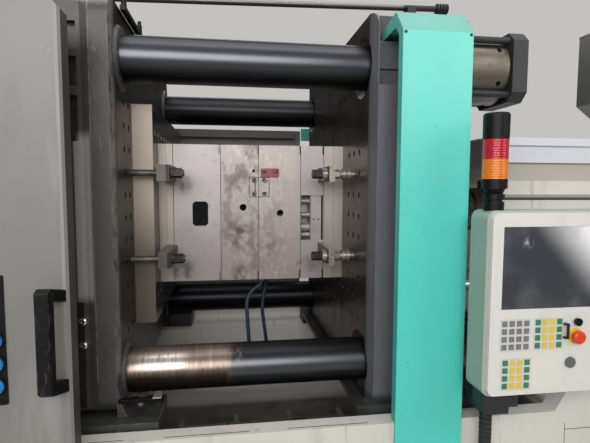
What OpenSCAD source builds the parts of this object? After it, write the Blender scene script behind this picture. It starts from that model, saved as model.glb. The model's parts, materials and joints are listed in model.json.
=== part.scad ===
// Horizontal injection moulding machine with a direct hydraulic clamp, its mould fitted and the front gate open.
// X runs along the machine towards the injection unit, Y away from the operator, Z up from the floor.
// X = 0 is the mould face of the fixed platen and Y = 0 the centre line.

/* [Clamp] */
// Height of the machine axis above the floor
axis_z = 1400; // [1350:1:1500]
// Diameter of the tie bars
bar_d = 150; // [130:1:160]
// Tie bar spacing across the machine
bar_dy = 1000; // [980:1:1030]
// Tie bar spacing in height
bar_dz = 1040; // [1020:1:1060]
// Clearance between a tie bar and its bush, on the radius
bar_clear = 0.1; // [0.05:0.01:0.3]
// Thickness of the fixed platen
fixed_t = 350; // [330:1:370]
// Thickness of the moving platen
moving_t = 330; // [300:1:360]
// Thickness of the end platen
end_t = 320; // [280:1:360]
// Distance from a tie bar's centre to the side of the platens
bar_edge = 140; // [130:1:150]
// Distance from a tie bar's centre to the top of the platens
bar_top = 157; // [145:1:165]
// Width of the machined mould faces
face_w = 1160; // [1140:1:1180]
// Diameter of the clamp piston
piston_d = 420; // [360:1:460]
// Diameter of the clamp cylinder
cylinder_d = 640; // [600:1:680]
// Length of the clamp cylinder
cylinder_l = 1450; // [1350:10:1500]

/* [Mould] */
// Width of the mould across the machine
mould_w = 476; // [440:1:500]
// Height of the mould
mould_h = 545; // [530:1:560]
// Thickness of the fixed clamp plate
plate_e = 81; // [70:1:90]
// Thickness of the runner plate
plate_d = 96; // [90:1:110]
// Thickness of the cavity plate
plate_c = 172; // [160:1:190]
// Thickness of the core plate
plate_b = 152; // [140:1:170]
// Thickness of the support plate
plate_a = 184; // [176:1:200]
// Thickness of the moving clamp plate
plate_m = 56; // [50:1:64]
// Thickness of the adapter plate
adapter_t = 72; // [60:1:80]
// Height of the adapter plate
adapter_h = 804; // [780:1:820]
// Diameter of the locating ring
ring_d = 160; // [125:1:175]
// Diameter of the mould guide pins
guide_d = 36; // [30:1:42]

/* [Bed] */
// Distance from the side of the platens to the side of the bed
bed_margin = 120; // [110:1:130]
// Height of the bed's front ledge
ledge_z = 765; // [750:1:775]
// Depth of the ledge from its front edge
ledge_y = 60; // [50:1:70]
// Length of the machine on the clamp side
clamp_side = 4150; // [4050:10:4300]
// Length of the machine on the injection side
inject_side = 4150; // [4050:10:4300]
// Sheet thickness of the bed's panels
bed_wall = 12; // [8:1:16]
// Ground clearance under the bed
foot_h = 70; // [60:1:90]

/* [Gates and covers] */
// Distance of the front gate's face from the side of the bed
gate_out = 83; // [75:1:90]
// Thickness of the gates
gate_t = 56; // [48:1:58]
// Length of the front gate
gate_l = 1420; // [1380:1:1450]
// Width of the front cover over the fixed platen
cover_w = 221; // [210:1:230]
// Sheet thickness of the covers
sheet = 4; // [3:1:6]

/* [Control panel] */
// Width of the operator panel
panel_w = 500; // [480:1:520]
// Height of the operator panel
panel_h = 525; // [515:1:535]
// Distance of the operator panel's face from the side of the bed
panel_out = 157; // [150:1:170]
// Depth of the operator panel
panel_d = 100; // [90:1:120]
// Diameter of the signal tower
tower_d = 70; // [60:1:75]

/* [Injection unit] */
// Outside diameter of the barrel
barrel_d = 190; // [180:1:200]
// Diameter of the screw
screw_d = 80; // [70:1:90]
// Running clearance of the screw in the barrel, on the radius
screw_clear = 0.1; // [0.05:0.01:0.1]
// Length of the barrel
barrel_l = 1850; // [1800:10:1900]
// Width of the hopper at its top
hopper_w = 620; // [560:10:660]

/* [Hidden] */

$fn = 64;
eps = 0.01;
seat = 0.3;

casting = [0.33, 0.33, 0.32];
steel = [0.62, 0.60, 0.57];
gunmetal = [0.16, 0.17, 0.18];
cream = [0.86, 0.84, 0.76];
pale = [0.74, 0.75, 0.74];
teal = [0.24, 0.74, 0.66];
black = [0.09, 0.09, 0.10];

// Stations along the machine
x_moving = -(plate_e + plate_d + plate_c + plate_b + plate_a + plate_m + adapter_t);
x_moving_back = x_moving - moving_t;
x_end_face = -2150;
x_end_back = x_end_face - end_t;
x_fixed_back = fixed_t;
x_parting = -(plate_e + plate_d + plate_c);
x_core_back = x_parting - plate_b;
x_support_back = x_core_back - plate_a;
x_adapter_face = x_support_back - plate_m;
bar_y = bar_dy / 2;
bar_z = bar_dz / 2;
platen_w = bar_dy + 2 * bar_edge;
platen_h = bar_dz + 2 * bar_top;
bed_w = platen_w + 2 * bed_margin;
bed_front = -bed_w / 2;
gate_y = bed_w / 2 + gate_out;
platen_r = 60;

// A bar along X between two stations
module x_rod(x0, x1, d, fn = 64) {
    translate([x0, 0, 0]) rotate([0, 90, 0]) cylinder(h = x1 - x0, d = d, $fn = fn);
}

// A rod along Y between two stations
// A block between two corners
module block(lo, hi) {
    translate(lo) cube(hi - lo);
}

// Flat outline with four round corners, centred
module round_rect(w, h, r) {
    square([w - 2 * r, h], center = true);
    square([w, h - 2 * r], center = true);
    for (sx = [-1, 1], sy = [-1, 1])
        translate([sx * (w / 2 - r), sy * (h / 2 - r)]) circle(r = r, $fn = 32);
}

// A plate with round corners that lies across Y, given by its corners in X and Z
module y_plate(y0, y1, lo, hi, r) {
    w = hi.x - lo.x;
    h = hi.y - lo.y;
    translate([(lo.x + hi.x) / 2, y1, (lo.y + hi.y) / 2]) rotate([90, 0, 0])
        linear_extrude(y1 - y0) round_rect(w, h, r);
}

// Copies at the four tie bars
module at_bars() {
    for (sy = [-1, 1], sz = [-1, 1])
        translate([0, sy * bar_y, axis_z + sz * bar_z]) children();
}

module at_axis() {
    translate([0, 0, axis_z]) children();
}

// Bed and what it carries
rail_top = 700;
shoe_top = 784;
shoe_x1 = -686;
shoe_x0 = x_moving_back - 60;
rail_y = platen_w / 2 + 10;
rail_w = 100;
rail_t = 30;
step_x = 600;
bed_x0 = -clamp_side;
bed_x1 = inject_side;
chute_x0 = -640;
chute_x1 = -70;
foot_xs = [bed_x0 + 200, -2600, -1200, 200, 1800, bed_x1 - 200];
inject_top = 900;
outlet_top = 540;
way_x1 = -50;

// Side outline of the welded bed: a high ledge beside the clamp and a higher frame under the injection unit
module bed_side_outline() {
    polygon([
        [bed_x0, foot_h], [bed_x1, foot_h], [bed_x1, inject_top], [step_x + 80, inject_top], [step_x, ledge_z],
        [bed_x0, ledge_z]
    ]);
}

// A door opening recess in the front panels
module bed_panel_joint(x, w) {
    translate([x, bed_front - 1, foot_h + 60]) cube([w, 3.5, ledge_z - foot_h - 190]);
}

// Boss on the rear carrier that a hose ends in
module hose_boss(p) {
    translate([p.x, rail_y - rail_w / 2 + 1, p.z]) rotate([90, 0, 0])
        cylinder(h = rail_y - rail_w / 2 + 1 - p.y, d = hose_d + 12, $fn = 32);
}

module bed_frame() {
    color(cream) difference() {
        translate([0, -bed_front, 0]) rotate([90, 0, 0]) linear_extrude(bed_w) bed_side_outline();
        // Well under the clamp, open to the top between the ledges
        block([bed_x0 + bed_wall, bed_front + ledge_y, 300],
            [step_x - 25, -bed_front - ledge_y, ledge_z + 1]);
        // Hollow under the injection unit
        block([step_x + 80 + bed_wall, bed_front + bed_wall, foot_h - 1],
            [bed_x1 - bed_wall, -bed_front - bed_wall, inject_top - 40]);
        // Hollow under the clamp's well
        block([bed_x0 + bed_wall, bed_front + bed_wall, foot_h - 1], [step_x, -bed_front - bed_wall, 260]);
        // Part outlet under the mould, out to the rear
        block([chute_x0 - 30, -40, 299], [chute_x1 + 30, -bed_front + 1, outlet_top]);
        // Folded seams of the front panels
        for (x = [-3900, -2700, -1500, -300]) bed_panel_joint(x, 1100);
        for (x = [640, 1800, 2960]) bed_panel_joint(x, 1060);
    }
    // Pads over the levelling feet
    color(cream) for (x = foot_xs, s = [-1, 1])
        block([x - 80, s > 0 ? bed_w / 2 - 170 : -bed_w / 2, foot_h],
            [x + 80, s > 0 ? bed_w / 2 : -bed_w / 2 + 170, foot_h + 30]);
    // Carriers of the platens, with their slide ways, and the outlet through the rear one
    color(cream) difference() {
        for (s = [-1, 1]) {
            block([bed_x0 + 100, s * rail_y - rail_w / 2, 299], [400, s * rail_y + rail_w / 2,
                rail_top - rail_t]);
            block([way_x1 + 5, s * rail_y - rail_w / 2, rail_top - rail_t - 1], [400,
                s * rail_y + rail_w / 2, rail_top]);
            block([bed_x0 + 150, s * rail_y - rail_w / 2 + 10, rail_top - rail_t - 1],
                [way_x1 + 6, s * rail_y + rail_w / 2 - 10, rail_top]);
        }
        block([chute_x0 - 30, 0, 298], [chute_x1 + 30, -bed_front, outlet_top]);
    }
    // Bosses that the water hoses end in
    color(steel) for (p = [hose_left, hose_right]) hose_boss(p[len(p) - 1]);
}

module levelling_feet() {
    for (x = foot_xs, s = [-1, 1])
        translate([x, s * (bed_w / 2 - 90), 0]) {
            color(black) difference() {
                cylinder(h = 40, d = 160);
                translate([0, 0, 12]) cylinder(h = 40, d = 120);
            }
            color(steel) translate([0, 0, 12]) cylinder(h = foot_h - 12 - seat, d = 36, $fn = 48);
            color(steel) translate([0, 0, 12]) cylinder(h = 20, d = 100);
        }
}

// Curved stainless panels that guide the moulded parts out, with dividers between them
chute_w = (chute_x1 - chute_x0) / 3;
divider_t = 14;
chute_r = 560;
chute_cy = -35;
chute_cz = 860;
module chute_arc(r0, r1, top) {
    difference() {
        circle(r = r1, $fn = 96);
        circle(r = r0, $fn = 96);
        translate([-r1 - 1, top - chute_cz]) square([2 * r1 + 2, 2 * r1]);
        translate([0, -r1 - 1]) square([r1 + 2, 2 * r1 + 2]);
    }
}
module parts_chute() {
    color([0.55, 0.56, 0.52]) {
        translate([chute_x0, chute_cy, chute_cz]) rotate([90, 0, 90]) linear_extrude(chute_x1 - chute_x0)
            chute_arc(chute_r - sheet, chute_r, rail_top);
        for (k = [0:3]) translate([chute_x0 + k * (chute_w - divider_t / 3), chute_cy, chute_cz])
            rotate([90, 0, 90]) linear_extrude(divider_t) chute_arc(chute_r - 60, chute_r - 1, rail_top);
    }
}

// Half of a platen's plan: narrower at the mould face, a land, and the casting a little behind the land
module platen_half_plan(t, bevel, land) {
    w = platen_w / 2;
    polygon([
        [0, 0], [0, face_w / 2], [bevel, w], [land, w], [land + 24, w - casting_back],
        [t - 20, w - casting_back], [t, w - casting_back - 20], [t, 0]
    ]);
}

// A platen blank with its mould face at X = 0, growing to +X
module platen_blank(t, bevel, land, bottom) {
    h = axis_z + platen_h / 2 - bottom;
    intersection() {
        translate([0, 0, bottom]) linear_extrude(h) for (s = [0, 1]) mirror([0, s])
            platen_half_plan(t, bevel, land);
        translate([-1, 0, bottom + h / 2]) rotate([90, 0, 90]) linear_extrude(t + 2)
            round_rect(platen_w, h, platen_r);
    }
}

// Tapped holes of the mould faces: outer columns beside the mould, inner ones above and below it
grid = 77;
grid_hole_d = 22;
grid_cols = [335, 407, 479];
grid_inner = [47, 119, 191, 263];
module grid_hole(x0, y, row, depth) {
    for (sy = [-1, 1]) translate([x0, sy * y, axis_z + row * grid]) rotate([0, 90, 0])
        cylinder(h = depth, d = grid_hole_d, $fn = 16);
}
module mould_hole_grid(x0, depth) {
    for (y = grid_cols, row = [-5:5]) grid_hole(x0, y, row, depth);
}
module inner_hole_grid(x0, depth) {
    for (y = grid_inner, row = [-5, -4, 4, 5, 6]) grid_hole(x0, y, row, depth);
    grid_hole(x0, grid_cols[0], 6, depth);
}

// Hollow between the corner boss and the body, on each side of the fixed platen
casting_back = 8;
flange_t = 15;
mouth_d = 204;
mouth_deep = 24;
boss_y = platen_w / 2 - 38;
boss_low = 497;
shoulder_y = platen_w / 2 - 66;
shoulder_z = 586;
hollow_d = 100;
module corner_relief(side) {
    x1 = fixed_t + 1;
    y1 = side * (platen_w / 2 + 1);
    top = axis_z + platen_h / 2 + 1;
    block([flange_t, min(side * boss_y, y1), axis_z + boss_low], [x1, max(side * boss_y, y1), top]);
    block([flange_t, min(side * shoulder_y, y1), axis_z + shoulder_z], [x1, max(side * shoulder_y, y1), top]);
    translate([flange_t, y1, axis_z + boss_low - 10]) flat_roof() x_rod(0, fixed_t, hollow_d, 48);
}
// The hollow keeps its round floor and has a flat roof under the boss
module flat_roof() {
    difference() {
        children();
        translate([-1, -hollow_d, 10]) cube([fixed_t + 2, 2 * hollow_d, hollow_d]);
    }
}

ring_clear = 0.2;
foot_top = 764;
module fixed_platen() {
    color(casting) difference() {
        union() {
            platen_blank(fixed_t, 13, fixed_t - 60, 745);
            block([-43, -platen_w / 2, rail_top], [fixed_t + 40, platen_w / 2, foot_top]);
        }
        at_bars() x_rod(-50, fixed_t + 1, bar_d + 2 * bar_clear);
        at_axis() x_rod(-50, fixed_t + 1, ring_d + 2 * ring_clear);
        at_axis() translate([120, 0, 0]) rotate([0, 90, 0]) cylinder(h = fixed_t - 119, d1 = 200, d2 = 420);
        // Flared mouths round the tie bars
        at_bars() rotate([0, 90, 0]) translate([0, 0, -eps])
            cylinder(h = mouth_deep, d1 = mouth_d, d2 = bar_d + 2 * bar_clear);
        mould_hole_grid(-eps, 60);
        inner_hole_grid(-eps, 60);
        for (s = [-1, 1]) corner_relief(s);
        // Clearance under the mould face for the chute
        block([-60, -platen_w / 2 + 130, rail_top - 1], [20, platen_w / 2 - 130, 745]);
    }
}

// Pockets behind the flange of the moving platen, crossed by two ribs
pocket_d = 34;
module platen_pocket(side, z0, z1) {
    y0 = side * (platen_w / 2 - pocket_d);
    y1 = side * (platen_w / 2 + 30);
    block([x_moving_back + 60, min(y0, y1), z0], [x_moving - 96, max(y0, y1), z1]);
}

ejector_d = 50;
flare_t = 34;
ejector_bore = 160;
ejector_room = 215;
module moving_platen() {
    color(casting) difference() {
        union() {
            translate([x_moving, 0, 0]) mirror([1, 0, 0]) platen_blank(moving_t, 4, 60, shoe_top);
            // Corners that flare out into the shoes
            for (s = [-1, 1]) translate([x_moving, s * (platen_w / 2 - flare_t / 2) + flare_t / 2, shoe_top])
                rotate([90, 0, 0]) linear_extrude(flare_t) polygon([
                    [-5, 0], [26, 0], [16, 16], [7, 42], [2, 72], [0, 96], [-5, 96]
                ]);
        }
        at_bars() x_rod(x_moving_back - 1, x_moving + 1, bush_d);
        mould_hole_grid(x_moving - 60, 61);
        for (s = [-1, 1]) {
            for (z = [[240, 375], [400, 490], [515, 590]]) platen_pocket(s, axis_z + z[0], axis_z + z[1]);
            platen_pocket(s, axis_z - 590, axis_z - 250);
        }
        at_axis() x_rod(x_moving_back - 1, x_moving_back + ejector_room, ejector_bore + 0.2);
        at_axis() x_rod(x_moving_back, x_moving + 1, ejector_d + 0.2, 48);
        at_axis() x_rod(x_moving - 30, x_moving + 1, ring_d + 2 * ring_clear);
    }
}

module end_platen() {
    color(casting) difference() {
        translate([x_end_face, 0, 0]) mirror([1, 0, 0]) platen_blank(end_t, 40, end_t - 60, rail_top);
        at_bars() x_rod(x_end_back - 1, x_end_face + 1, bar_d + 2 * bar_clear);
        at_axis() x_rod(x_end_back - 1, x_end_face + 1, piston_d + 0.2);
    }
}

nut_d = 225;
nut_l = 145;
retainer = 236;
bar_end = 12;
module tie_bar() {
    x_rod(x_end_back - nut_l + bar_end, x_fixed_back + nut_l - bar_end, bar_d);
}
module tie_bars() {
    color(gunmetal) at_bars() tie_bar();
}

module tie_bar_nut() {
    difference() {
        rotate([0, 90, 0]) rotate_extrude($fn = 64) polygon([
            [bar_d / 2 + bar_clear, 0], [nut_d / 2, 0], [nut_d / 2, nut_l - 8], [nut_d / 2 - 8, nut_l],
            [bar_d / 2 + bar_clear, nut_l]
        ]);
        for (a = [0:60:300]) rotate([a, 0, 0]) translate([nut_l - 40, 0, nut_d / 2 + 1]) rotate([180, 0, 0])
            cylinder(h = 25, d = 18, $fn = 16);
    }
}
module tie_bar_nuts() {
    color([0.42, 0.38, 0.33]) at_bars() {
        translate([x_fixed_back, 0, 0]) tie_bar_nut();
        translate([x_end_back, 0, 0]) mirror([1, 0, 0]) tie_bar_nut();
    }
}

module nut_retainers() {
    stud = retainer / 2 - 28;
    color(black) at_bars() {
        translate([x_fixed_back + nut_l, 0, 0]) rotate([90, 0, 90]) linear_extrude(55) difference() {
            square(retainer, center = true);
            for (a = [0:90:270]) rotate(a) translate([retainer / 2, retainer / 2]) rotate(45)
                square(44, center = true);
        }
        for (sy = [-1, 1], sz = [-1, 1]) translate([0, sy * stud, sz * stud])
            x_rod(x_fixed_back, x_fixed_back + nut_l, 24, 32);
    }
}

bush_d = 180;
bush_flange = 208;
module tie_bar_bushes() {
    color([0.30, 0.27, 0.22]) at_bars() for (end = [0, 1])
        translate([end == 0 ? x_moving : x_moving_back, 0, 0]) mirror([end, 0, 0]) rotate([0, -90, 0])
            rotate_extrude($fn = 64) polygon([
                [bar_d / 2 + bar_clear, -10], [bush_flange / 2 - 8, -10], [bush_flange / 2, 0],
                [bush_d / 2 - 0.1, 0], [bush_d / 2 - 0.1, 110], [bar_d / 2 + bar_clear, 110]
            ]);
}

module platen_shoes() {
    for (s = [-1, 1]) {
        y0 = s > 0 ? rail_y - 150 : -rail_y - 40;
        y1 = s > 0 ? rail_y + 40 : -rail_y + 150;
        color(casting) difference() {
            block([shoe_x0, y0, rail_top + 15], [shoe_x1, y1, shoe_top]);
            // Room for the flanges of the lower bushes
            at_bars() x_rod(shoe_x0 - 1, x_moving + 12, bush_flange + 2);
        }
        color([0.6, 0.45, 0.2]) block([shoe_x0 + 20, s * rail_y - 38, rail_top + seat],
            [shoe_x1 - 20, s * rail_y + 38, rail_top + 15]);
    }
}

module clamp_cylinder() {
    color(pale) at_axis() rotate([0, -90, 0]) translate([0, 0, -x_end_back]) rotate_extrude($fn = 96) polygon([
        [piston_d / 2 + 0.1, 0], [cylinder_d / 2 + 60, 0], [cylinder_d / 2 + 60, 70], [cylinder_d / 2, 90],
        [cylinder_d / 2, cylinder_l - 120], [cylinder_d / 2 - 30, cylinder_l - 60],
        [cylinder_d / 2 - 30, cylinder_l], [0, cylinder_l], [0, cylinder_l - 100],
        [piston_d / 2 + 0.1, cylinder_l - 100]
    ]);
}

module clamp_piston() {
    color([0.75, 0.76, 0.78]) difference() {
        at_axis() union() {
            x_rod(x_end_back - 260, x_moving_back, piston_d, 96);
            x_rod(x_moving_back - 50, x_moving_back, piston_d + 130, 96);
        }
        at_axis() x_rod(x_moving_back - 120, x_moving_back + 1, ejector_bore + 0.2);
    }
}

// Hydraulic ejector: a disc that runs in the platen's centre, with its rod through to the mould
ejector_disc = 60;
ejector_gap = 4;
x_ejector_plate = x_support_back + 5;
module ejector_rod() {
    color([0.7, 0.71, 0.72]) at_axis() {
        x_rod(x_moving_back + ejector_gap, x_moving_back + ejector_gap + ejector_disc, ejector_bore, 64);
        x_rod(x_moving_back + ejector_gap, x_ejector_plate, ejector_d, 48);
    }
}

// Adapter plate on the moving platen, offset to the rear as the grid face shows
adapter_y0 = -355;
adapter_y1 = 600;
module adapter_hole(column, row) {
    translate([x_moving + adapter_t - 40, adapter_y0 + 55 + column * grid, axis_z + row * grid])
        rotate([0, 90, 0])
        cylinder(h = 41, d = grid_hole_d, $fn = 16);
}
module adapter_plate() {
    color([0.72, 0.66, 0.56]) difference() {
        block([x_moving, adapter_y0, axis_z - adapter_h / 2],
            [x_moving + adapter_t, adapter_y1, axis_z + adapter_h / 2]);
        at_axis() x_rod(x_moving - 1, x_moving + adapter_t + 1, ejector_d + 0.4, 48);
        for (row = [-4:4], j = [8:11]) adapter_hole(j, row);
        for (row = [-4, 4], j = [0:7]) adapter_hole(j, row);
    }
}

mould_y = mould_w / 2;
mould_z0 = axis_z - mould_h / 2;
mould_z1 = axis_z + mould_h / 2;
pry_w = 8;
pry_h = 36;

// One mould plate, with pry notches at the corners of its moving side
module mould_plate(x0, x1, pry = true) {
    difference() {
        block([x0 + 0.15, -mould_y, mould_z0], [x1 - 0.15, mould_y, mould_z1]);
        if (pry) for (s = [-1, 1]) {
            block([x1 - pry_w, s > 0 ? mould_y - 18 : -mould_y - 1, mould_z1 - pry_h],
                [x1 + 1, s > 0 ? mould_y + 1 : -mould_y + 18, mould_z1 + 1]);
            block([x1 - pry_w, s > 0 ? mould_y - 18 : -mould_y - 1, mould_z0 - 1],
                [x1 + 1, s > 0 ? mould_y + 1 : -mould_y + 18, mould_z0 + pry_h]);
        }
    }
}

guide_y = mould_y - 48;
guide_z = mould_h / 2 - 50;
guide_clear = 0.2;
guide_into = 110;
module at_guides() {
    for (sy = [-1, 1], sz = [-1, 1]) translate([0, sy * guide_y, axis_z + sz * guide_z]) children();
}

eject_pin_d = 12;
module at_eject_pins() {
    for (sy = [-1, 1], k = [-1:1]) translate([0, sy * 70, axis_z + k * 90]) children();
}

// Slots in the sides of the clamp plates where the clamp jaws bite
jaw_w = 58;
jaw_z = [2 * grid, -2 * grid];
jaw_deep = 24;
module jaw_slots(x0, x1) {
    for (s = [-1, 1], z = jaw_z)
        block([x0, s > 0 ? mould_y - jaw_deep : -mould_y - 1, axis_z + z - jaw_w / 2 - 1],
            [x1, s > 0 ? mould_y + 1 : -mould_y + jaw_deep, axis_z + z + jaw_w / 2 + 1]);
}

module mould_clamp_plate_moving() {
    color(steel) difference() {
        mould_plate(x_adapter_face, x_support_back, false);
        at_axis() x_rod(x_adapter_face - 1, x_support_back + 1, ejector_d + 0.4, 48);
        jaw_slots(x_adapter_face + 26, x_support_back + 1);
        for (s = [-1, 1]) block([x_adapter_face + 28, s > 0 ? mould_y - 4 : -mould_y - 1, mould_z0 - 1],
            [x_adapter_face + 31, s > 0 ? mould_y + 1 : -mould_y + 4, mould_z1 + 1]);
    }
}

eject_y = 115;
eject_z = 170;
eject_room = plate_a - 34;
module mould_support_plate() {
    color(steel) difference() {
        mould_plate(x_support_back, x_core_back);
        block([x_support_back - 1, -eject_y - 10, axis_z - eject_z - 10],
            [x_support_back + eject_room, eject_y + 10, axis_z + eject_z + 10]);
        at_eject_pins() x_rod(x_support_back, x_core_back + 1, eject_pin_d + 1, 32);
    }
}

core_h = 26;
pin_short = 66;
module mould_core_plate() {
    color(steel) difference() {
        mould_plate(x_core_back, x_parting);
        at_guides() x_rod(x_core_back - 1, x_parting + 1, guide_d + 0.1, 48);
        at_guides() x_rod(x_core_back - 1, x_core_back + 12, guide_d + 12, 48);
        at_eject_pins() x_rod(x_core_back - 1, x_parting - 4, eject_pin_d + 0.4, 32);
        interlock_pocket(x_parting - lock_key, x_parting + 1);
        translate([x_parting - 62, -mould_y - 1, axis_z + 24]) rotate([-90, 0, 0])
            cylinder(h = 60, d = 26, $fn = 32);
        translate([x_parting - 20, -mould_y - 1, axis_z + 168]) rotate([-90, 0, 0])
            cylinder(h = 30, d = 10, $fn = 24);
    }
    // Two core blocks that stand into the cavity
    color(steel) for (s = [-1, 1]) translate([x_parting - 1, s * 70, axis_z]) rotate([90, 0, 90])
        linear_extrude(core_h + 1) round_rect(96, 220, 16);
}

cavity_clear = 3;
module mould_cavity_plate() {
    color(steel) difference() {
        mould_plate(x_parting, x_parting + plate_c);
        at_guides() x_rod(x_parting - 1, x_parting + guide_into + 10, guide_d + 2 * guide_clear, 48);
        for (s = [-1, 1]) translate([x_parting - 1, s * 70, axis_z]) rotate([90, 0, 90])
            linear_extrude(core_h + cavity_clear + 1)
                round_rect(96 + 2 * cavity_clear, 220 + 2 * cavity_clear, 16 + cavity_clear);
        at_axis() x_rod(x_parting - 1, x_parting + plate_c + 1, 12, 32);
        interlock_pocket(x_parting - 1, x_parting + lock_socket);
        translate([-262, -mould_y - 1, axis_z - 1]) rotate([-90, 0, 0]) cylinder(h = 60, d = 27, $fn = 32);
    }
    // Tails that the water hoses are pushed over
    color(steel) for (p = [hose_left[0], hose_right[0]])
        translate(p) cylinder(h = mould_z0 + 1 - p.z, d = hose_d + 10, $fn = 32);
}

window_z0 = axis_z - 113;
window_z1 = axis_z + 72;
x_runner = x_parting + plate_c;
module mould_runner_plate() {
    color(steel) difference() {
        mould_plate(x_runner, x_runner + plate_d);
        jaw_slots(-plate_e - 23, -plate_e + 1);
        block([x_runner + 2, -mould_y - 1, window_z0], [x_runner + plate_d - 2, -mould_y + 90, window_z1]);
        at_axis() x_rod(x_runner - 1, x_runner + plate_d + 1, 30, 32);
    }
    // Plate with screws in the right half of the window and the runner pins beside it
    color(steel) difference() {
        block([x_runner + 44, -mould_y + 10, window_z0], [x_runner + plate_d - 8, -mould_y + 90, window_z1]);
        for (x = [12, 32]) translate([x_runner + 44 + x, -mould_y + 9, axis_z - 28]) rotate([-90, 0, 0])
            cylinder(h = 20, d = 8, $fn = 24);
    }
    color([0.8, 0.8, 0.8]) for (z = [48, -10, -62, -94]) translate([0, -mould_y + 45, axis_z + z])
        x_rod(x_runner + 1.5, x_runner + 44.5, z == -62 ? 34 : 20, 32);
}

module mould_clamp_plate_fixed() {
    color(steel) difference() {
        mould_plate(-plate_e, 0, false);
        at_axis() x_rod(-plate_e - 1, 1, 60, 48);
        for (s = [-1, 1]) block([-plate_e / 2 - 2, s > 0 ? mould_y - 4 : -mould_y - 1, mould_z0 - 1],
            [-plate_e / 2 + 2, s > 0 ? mould_y + 1 : -mould_y + 4, mould_z1 + 1]);
    }
}

module mould_guide_pins() {
    color([0.7, 0.7, 0.7]) at_guides() {
        x_rod(x_core_back + 0.3, x_core_back + 11, guide_d + 10, 48);
        x_rod(x_core_back + 1, x_parting + guide_into, guide_d, 48);
    }
}

// Ejector plate with its pins, inside the support plate
module mould_ejector_plate() {
    color([0.66, 0.66, 0.66]) {
        block([x_ejector_plate, -eject_y, axis_z - eject_z], [x_ejector_plate + 46, eject_y, axis_z + eject_z]);
        at_eject_pins() x_rod(x_ejector_plate + 45, x_parting - pin_short, eject_pin_d, 32);
    }
}

// Side interlock let into the front face across the parting line
lock_key = 38;
lock_socket = 44;
lock_z0 = axis_z + 64;
lock_z1 = axis_z + 142;
lock_deep = 30;
module interlock_pocket(x0, x1) {
    block([x0, -mould_y - 1, lock_z0], [x1, -mould_y + lock_deep, lock_z1]);
}
module lock_screw_holes(x) {
    for (z = [lock_z0 + 14, lock_z1 - 14]) translate([x, -mould_y - 1, z]) rotate([-90, 0, 0]) {
        cylinder(h = 9, d = 18, $fn = 32);
        cylinder(h = 14, d = 9, $fn = 6);
    }
}
module interlock_key() {
    color(steel) difference() {
        union() {
            block([x_parting - lock_key + 0.3, -mould_y, lock_z0 + 0.3],
                [x_parting - 0.15, -mould_y + lock_deep - 0.3, lock_z1 - 0.3]);
            block([x_parting - 1, -mould_y, lock_z0 + 27], [x_parting + 16, -mould_y + lock_deep - 0.3,
                lock_z1 - 27]);
        }
        lock_screw_holes(x_parting - 19);
    }
}
module interlock_socket() {
    color(steel) difference() {
        block([x_parting + 0.15, -mould_y, lock_z0 + 0.3],
            [x_parting + lock_socket - 0.3, -mould_y + lock_deep - 0.3, lock_z1 - 0.3]);
        block([x_parting - 1, -mould_y - 1, lock_z0 + 26.8], [x_parting + 16.3, -mould_y + lock_deep,
            lock_z1 - 26.8]);
        lock_screw_holes(x_parting + 28);
    }
}

// Transport strap, held by two screws
module mould_strap() {
    color([0.65, 0.06, 0.14]) difference() {
        y_plate(-mould_y - 10, -mould_y, [x_parting + 8, axis_z + 146], [x_parting + 82, axis_z + 180], 5);
        for (x = [22, 66]) translate([x_parting + x, -mould_y - 11, axis_z + 163]) rotate([-90, 0, 0])
            cylinder(h = 7, d = 18, $fn = 32);
    }
}

// Clamp on a mould plate: a stud from the platen, a jaw with its toe in the plate's slot, collars and a nut
stud_y = grid_cols[1];
stud_d = 24;
jaw_moving = [x_adapter_face + 26.2 - x_moving, x_support_back - x_moving - 1.5];
jaw_fixed = [plate_e + 0.3, plate_e + 22];
module mould_clamp(dir, side, z, jaw, body, stud_l, collars) {
    toe_y = stud_y - mould_y + jaw_deep - 1;
    body_y = stud_y - mould_y - 2;
    translate([0, side * stud_y, axis_z + z]) mirror([dir > 0 ? 0 : 1, 0, 0]) mirror([0, side > 0 ? 0 : 1, 0]) {
        x_rod(0, stud_l, stud_d, 32);
        for (c = collars) x_rod(c[0], c[1], c[2], c[3]);
        difference() {
            union() {
                block([jaw[0], -toe_y, -jaw_w / 2], [jaw[1], 40, jaw_w / 2]);
                block([jaw[0], -body_y, -jaw_w / 2], [body, 40, jaw_w / 2]);
            }
            x_rod(jaw[0] - 1, body + 1, stud_d + 2, 32);
        }
    }
}
module mould_clamps_moving() {
    color([0.35, 0.33, 0.31]) for (z = jaw_z) translate([x_moving, 0, 0])
        mould_clamp(1, -1, z, jaw_moving, 140, 187, [[140, 144, 44, 32], [144, 181, 36, 6]]);
}
module mould_clamps_fixed() {
    color([0.78, 0.78, 0.74]) for (s = [-1, 1], z = jaw_z)
        mould_clamp(-1, s, z, jaw_fixed, jaw_fixed[1], 150, [
            [17, 31, 46, 32], [31, 47, 42, 32], [58, 77, 36, 6], [77, 82, 40, 32],
            [jaw_fixed[1], 108, 44, 32], [108, 120, 50, 32], [120, 160, 34, 6]
        ]);
}

module locating_ring() {
    color(steel) at_axis() {
        difference() {
            x_rod(0.3, 18, ring_d, 64);
            x_rod(0, 19, 50, 48);
        }
        difference() {
            x_rod(-plate_e + 1, 10, 49, 48);
            x_rod(-plate_e - 1, 11, 8, 24);
        }
    }
}

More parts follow.
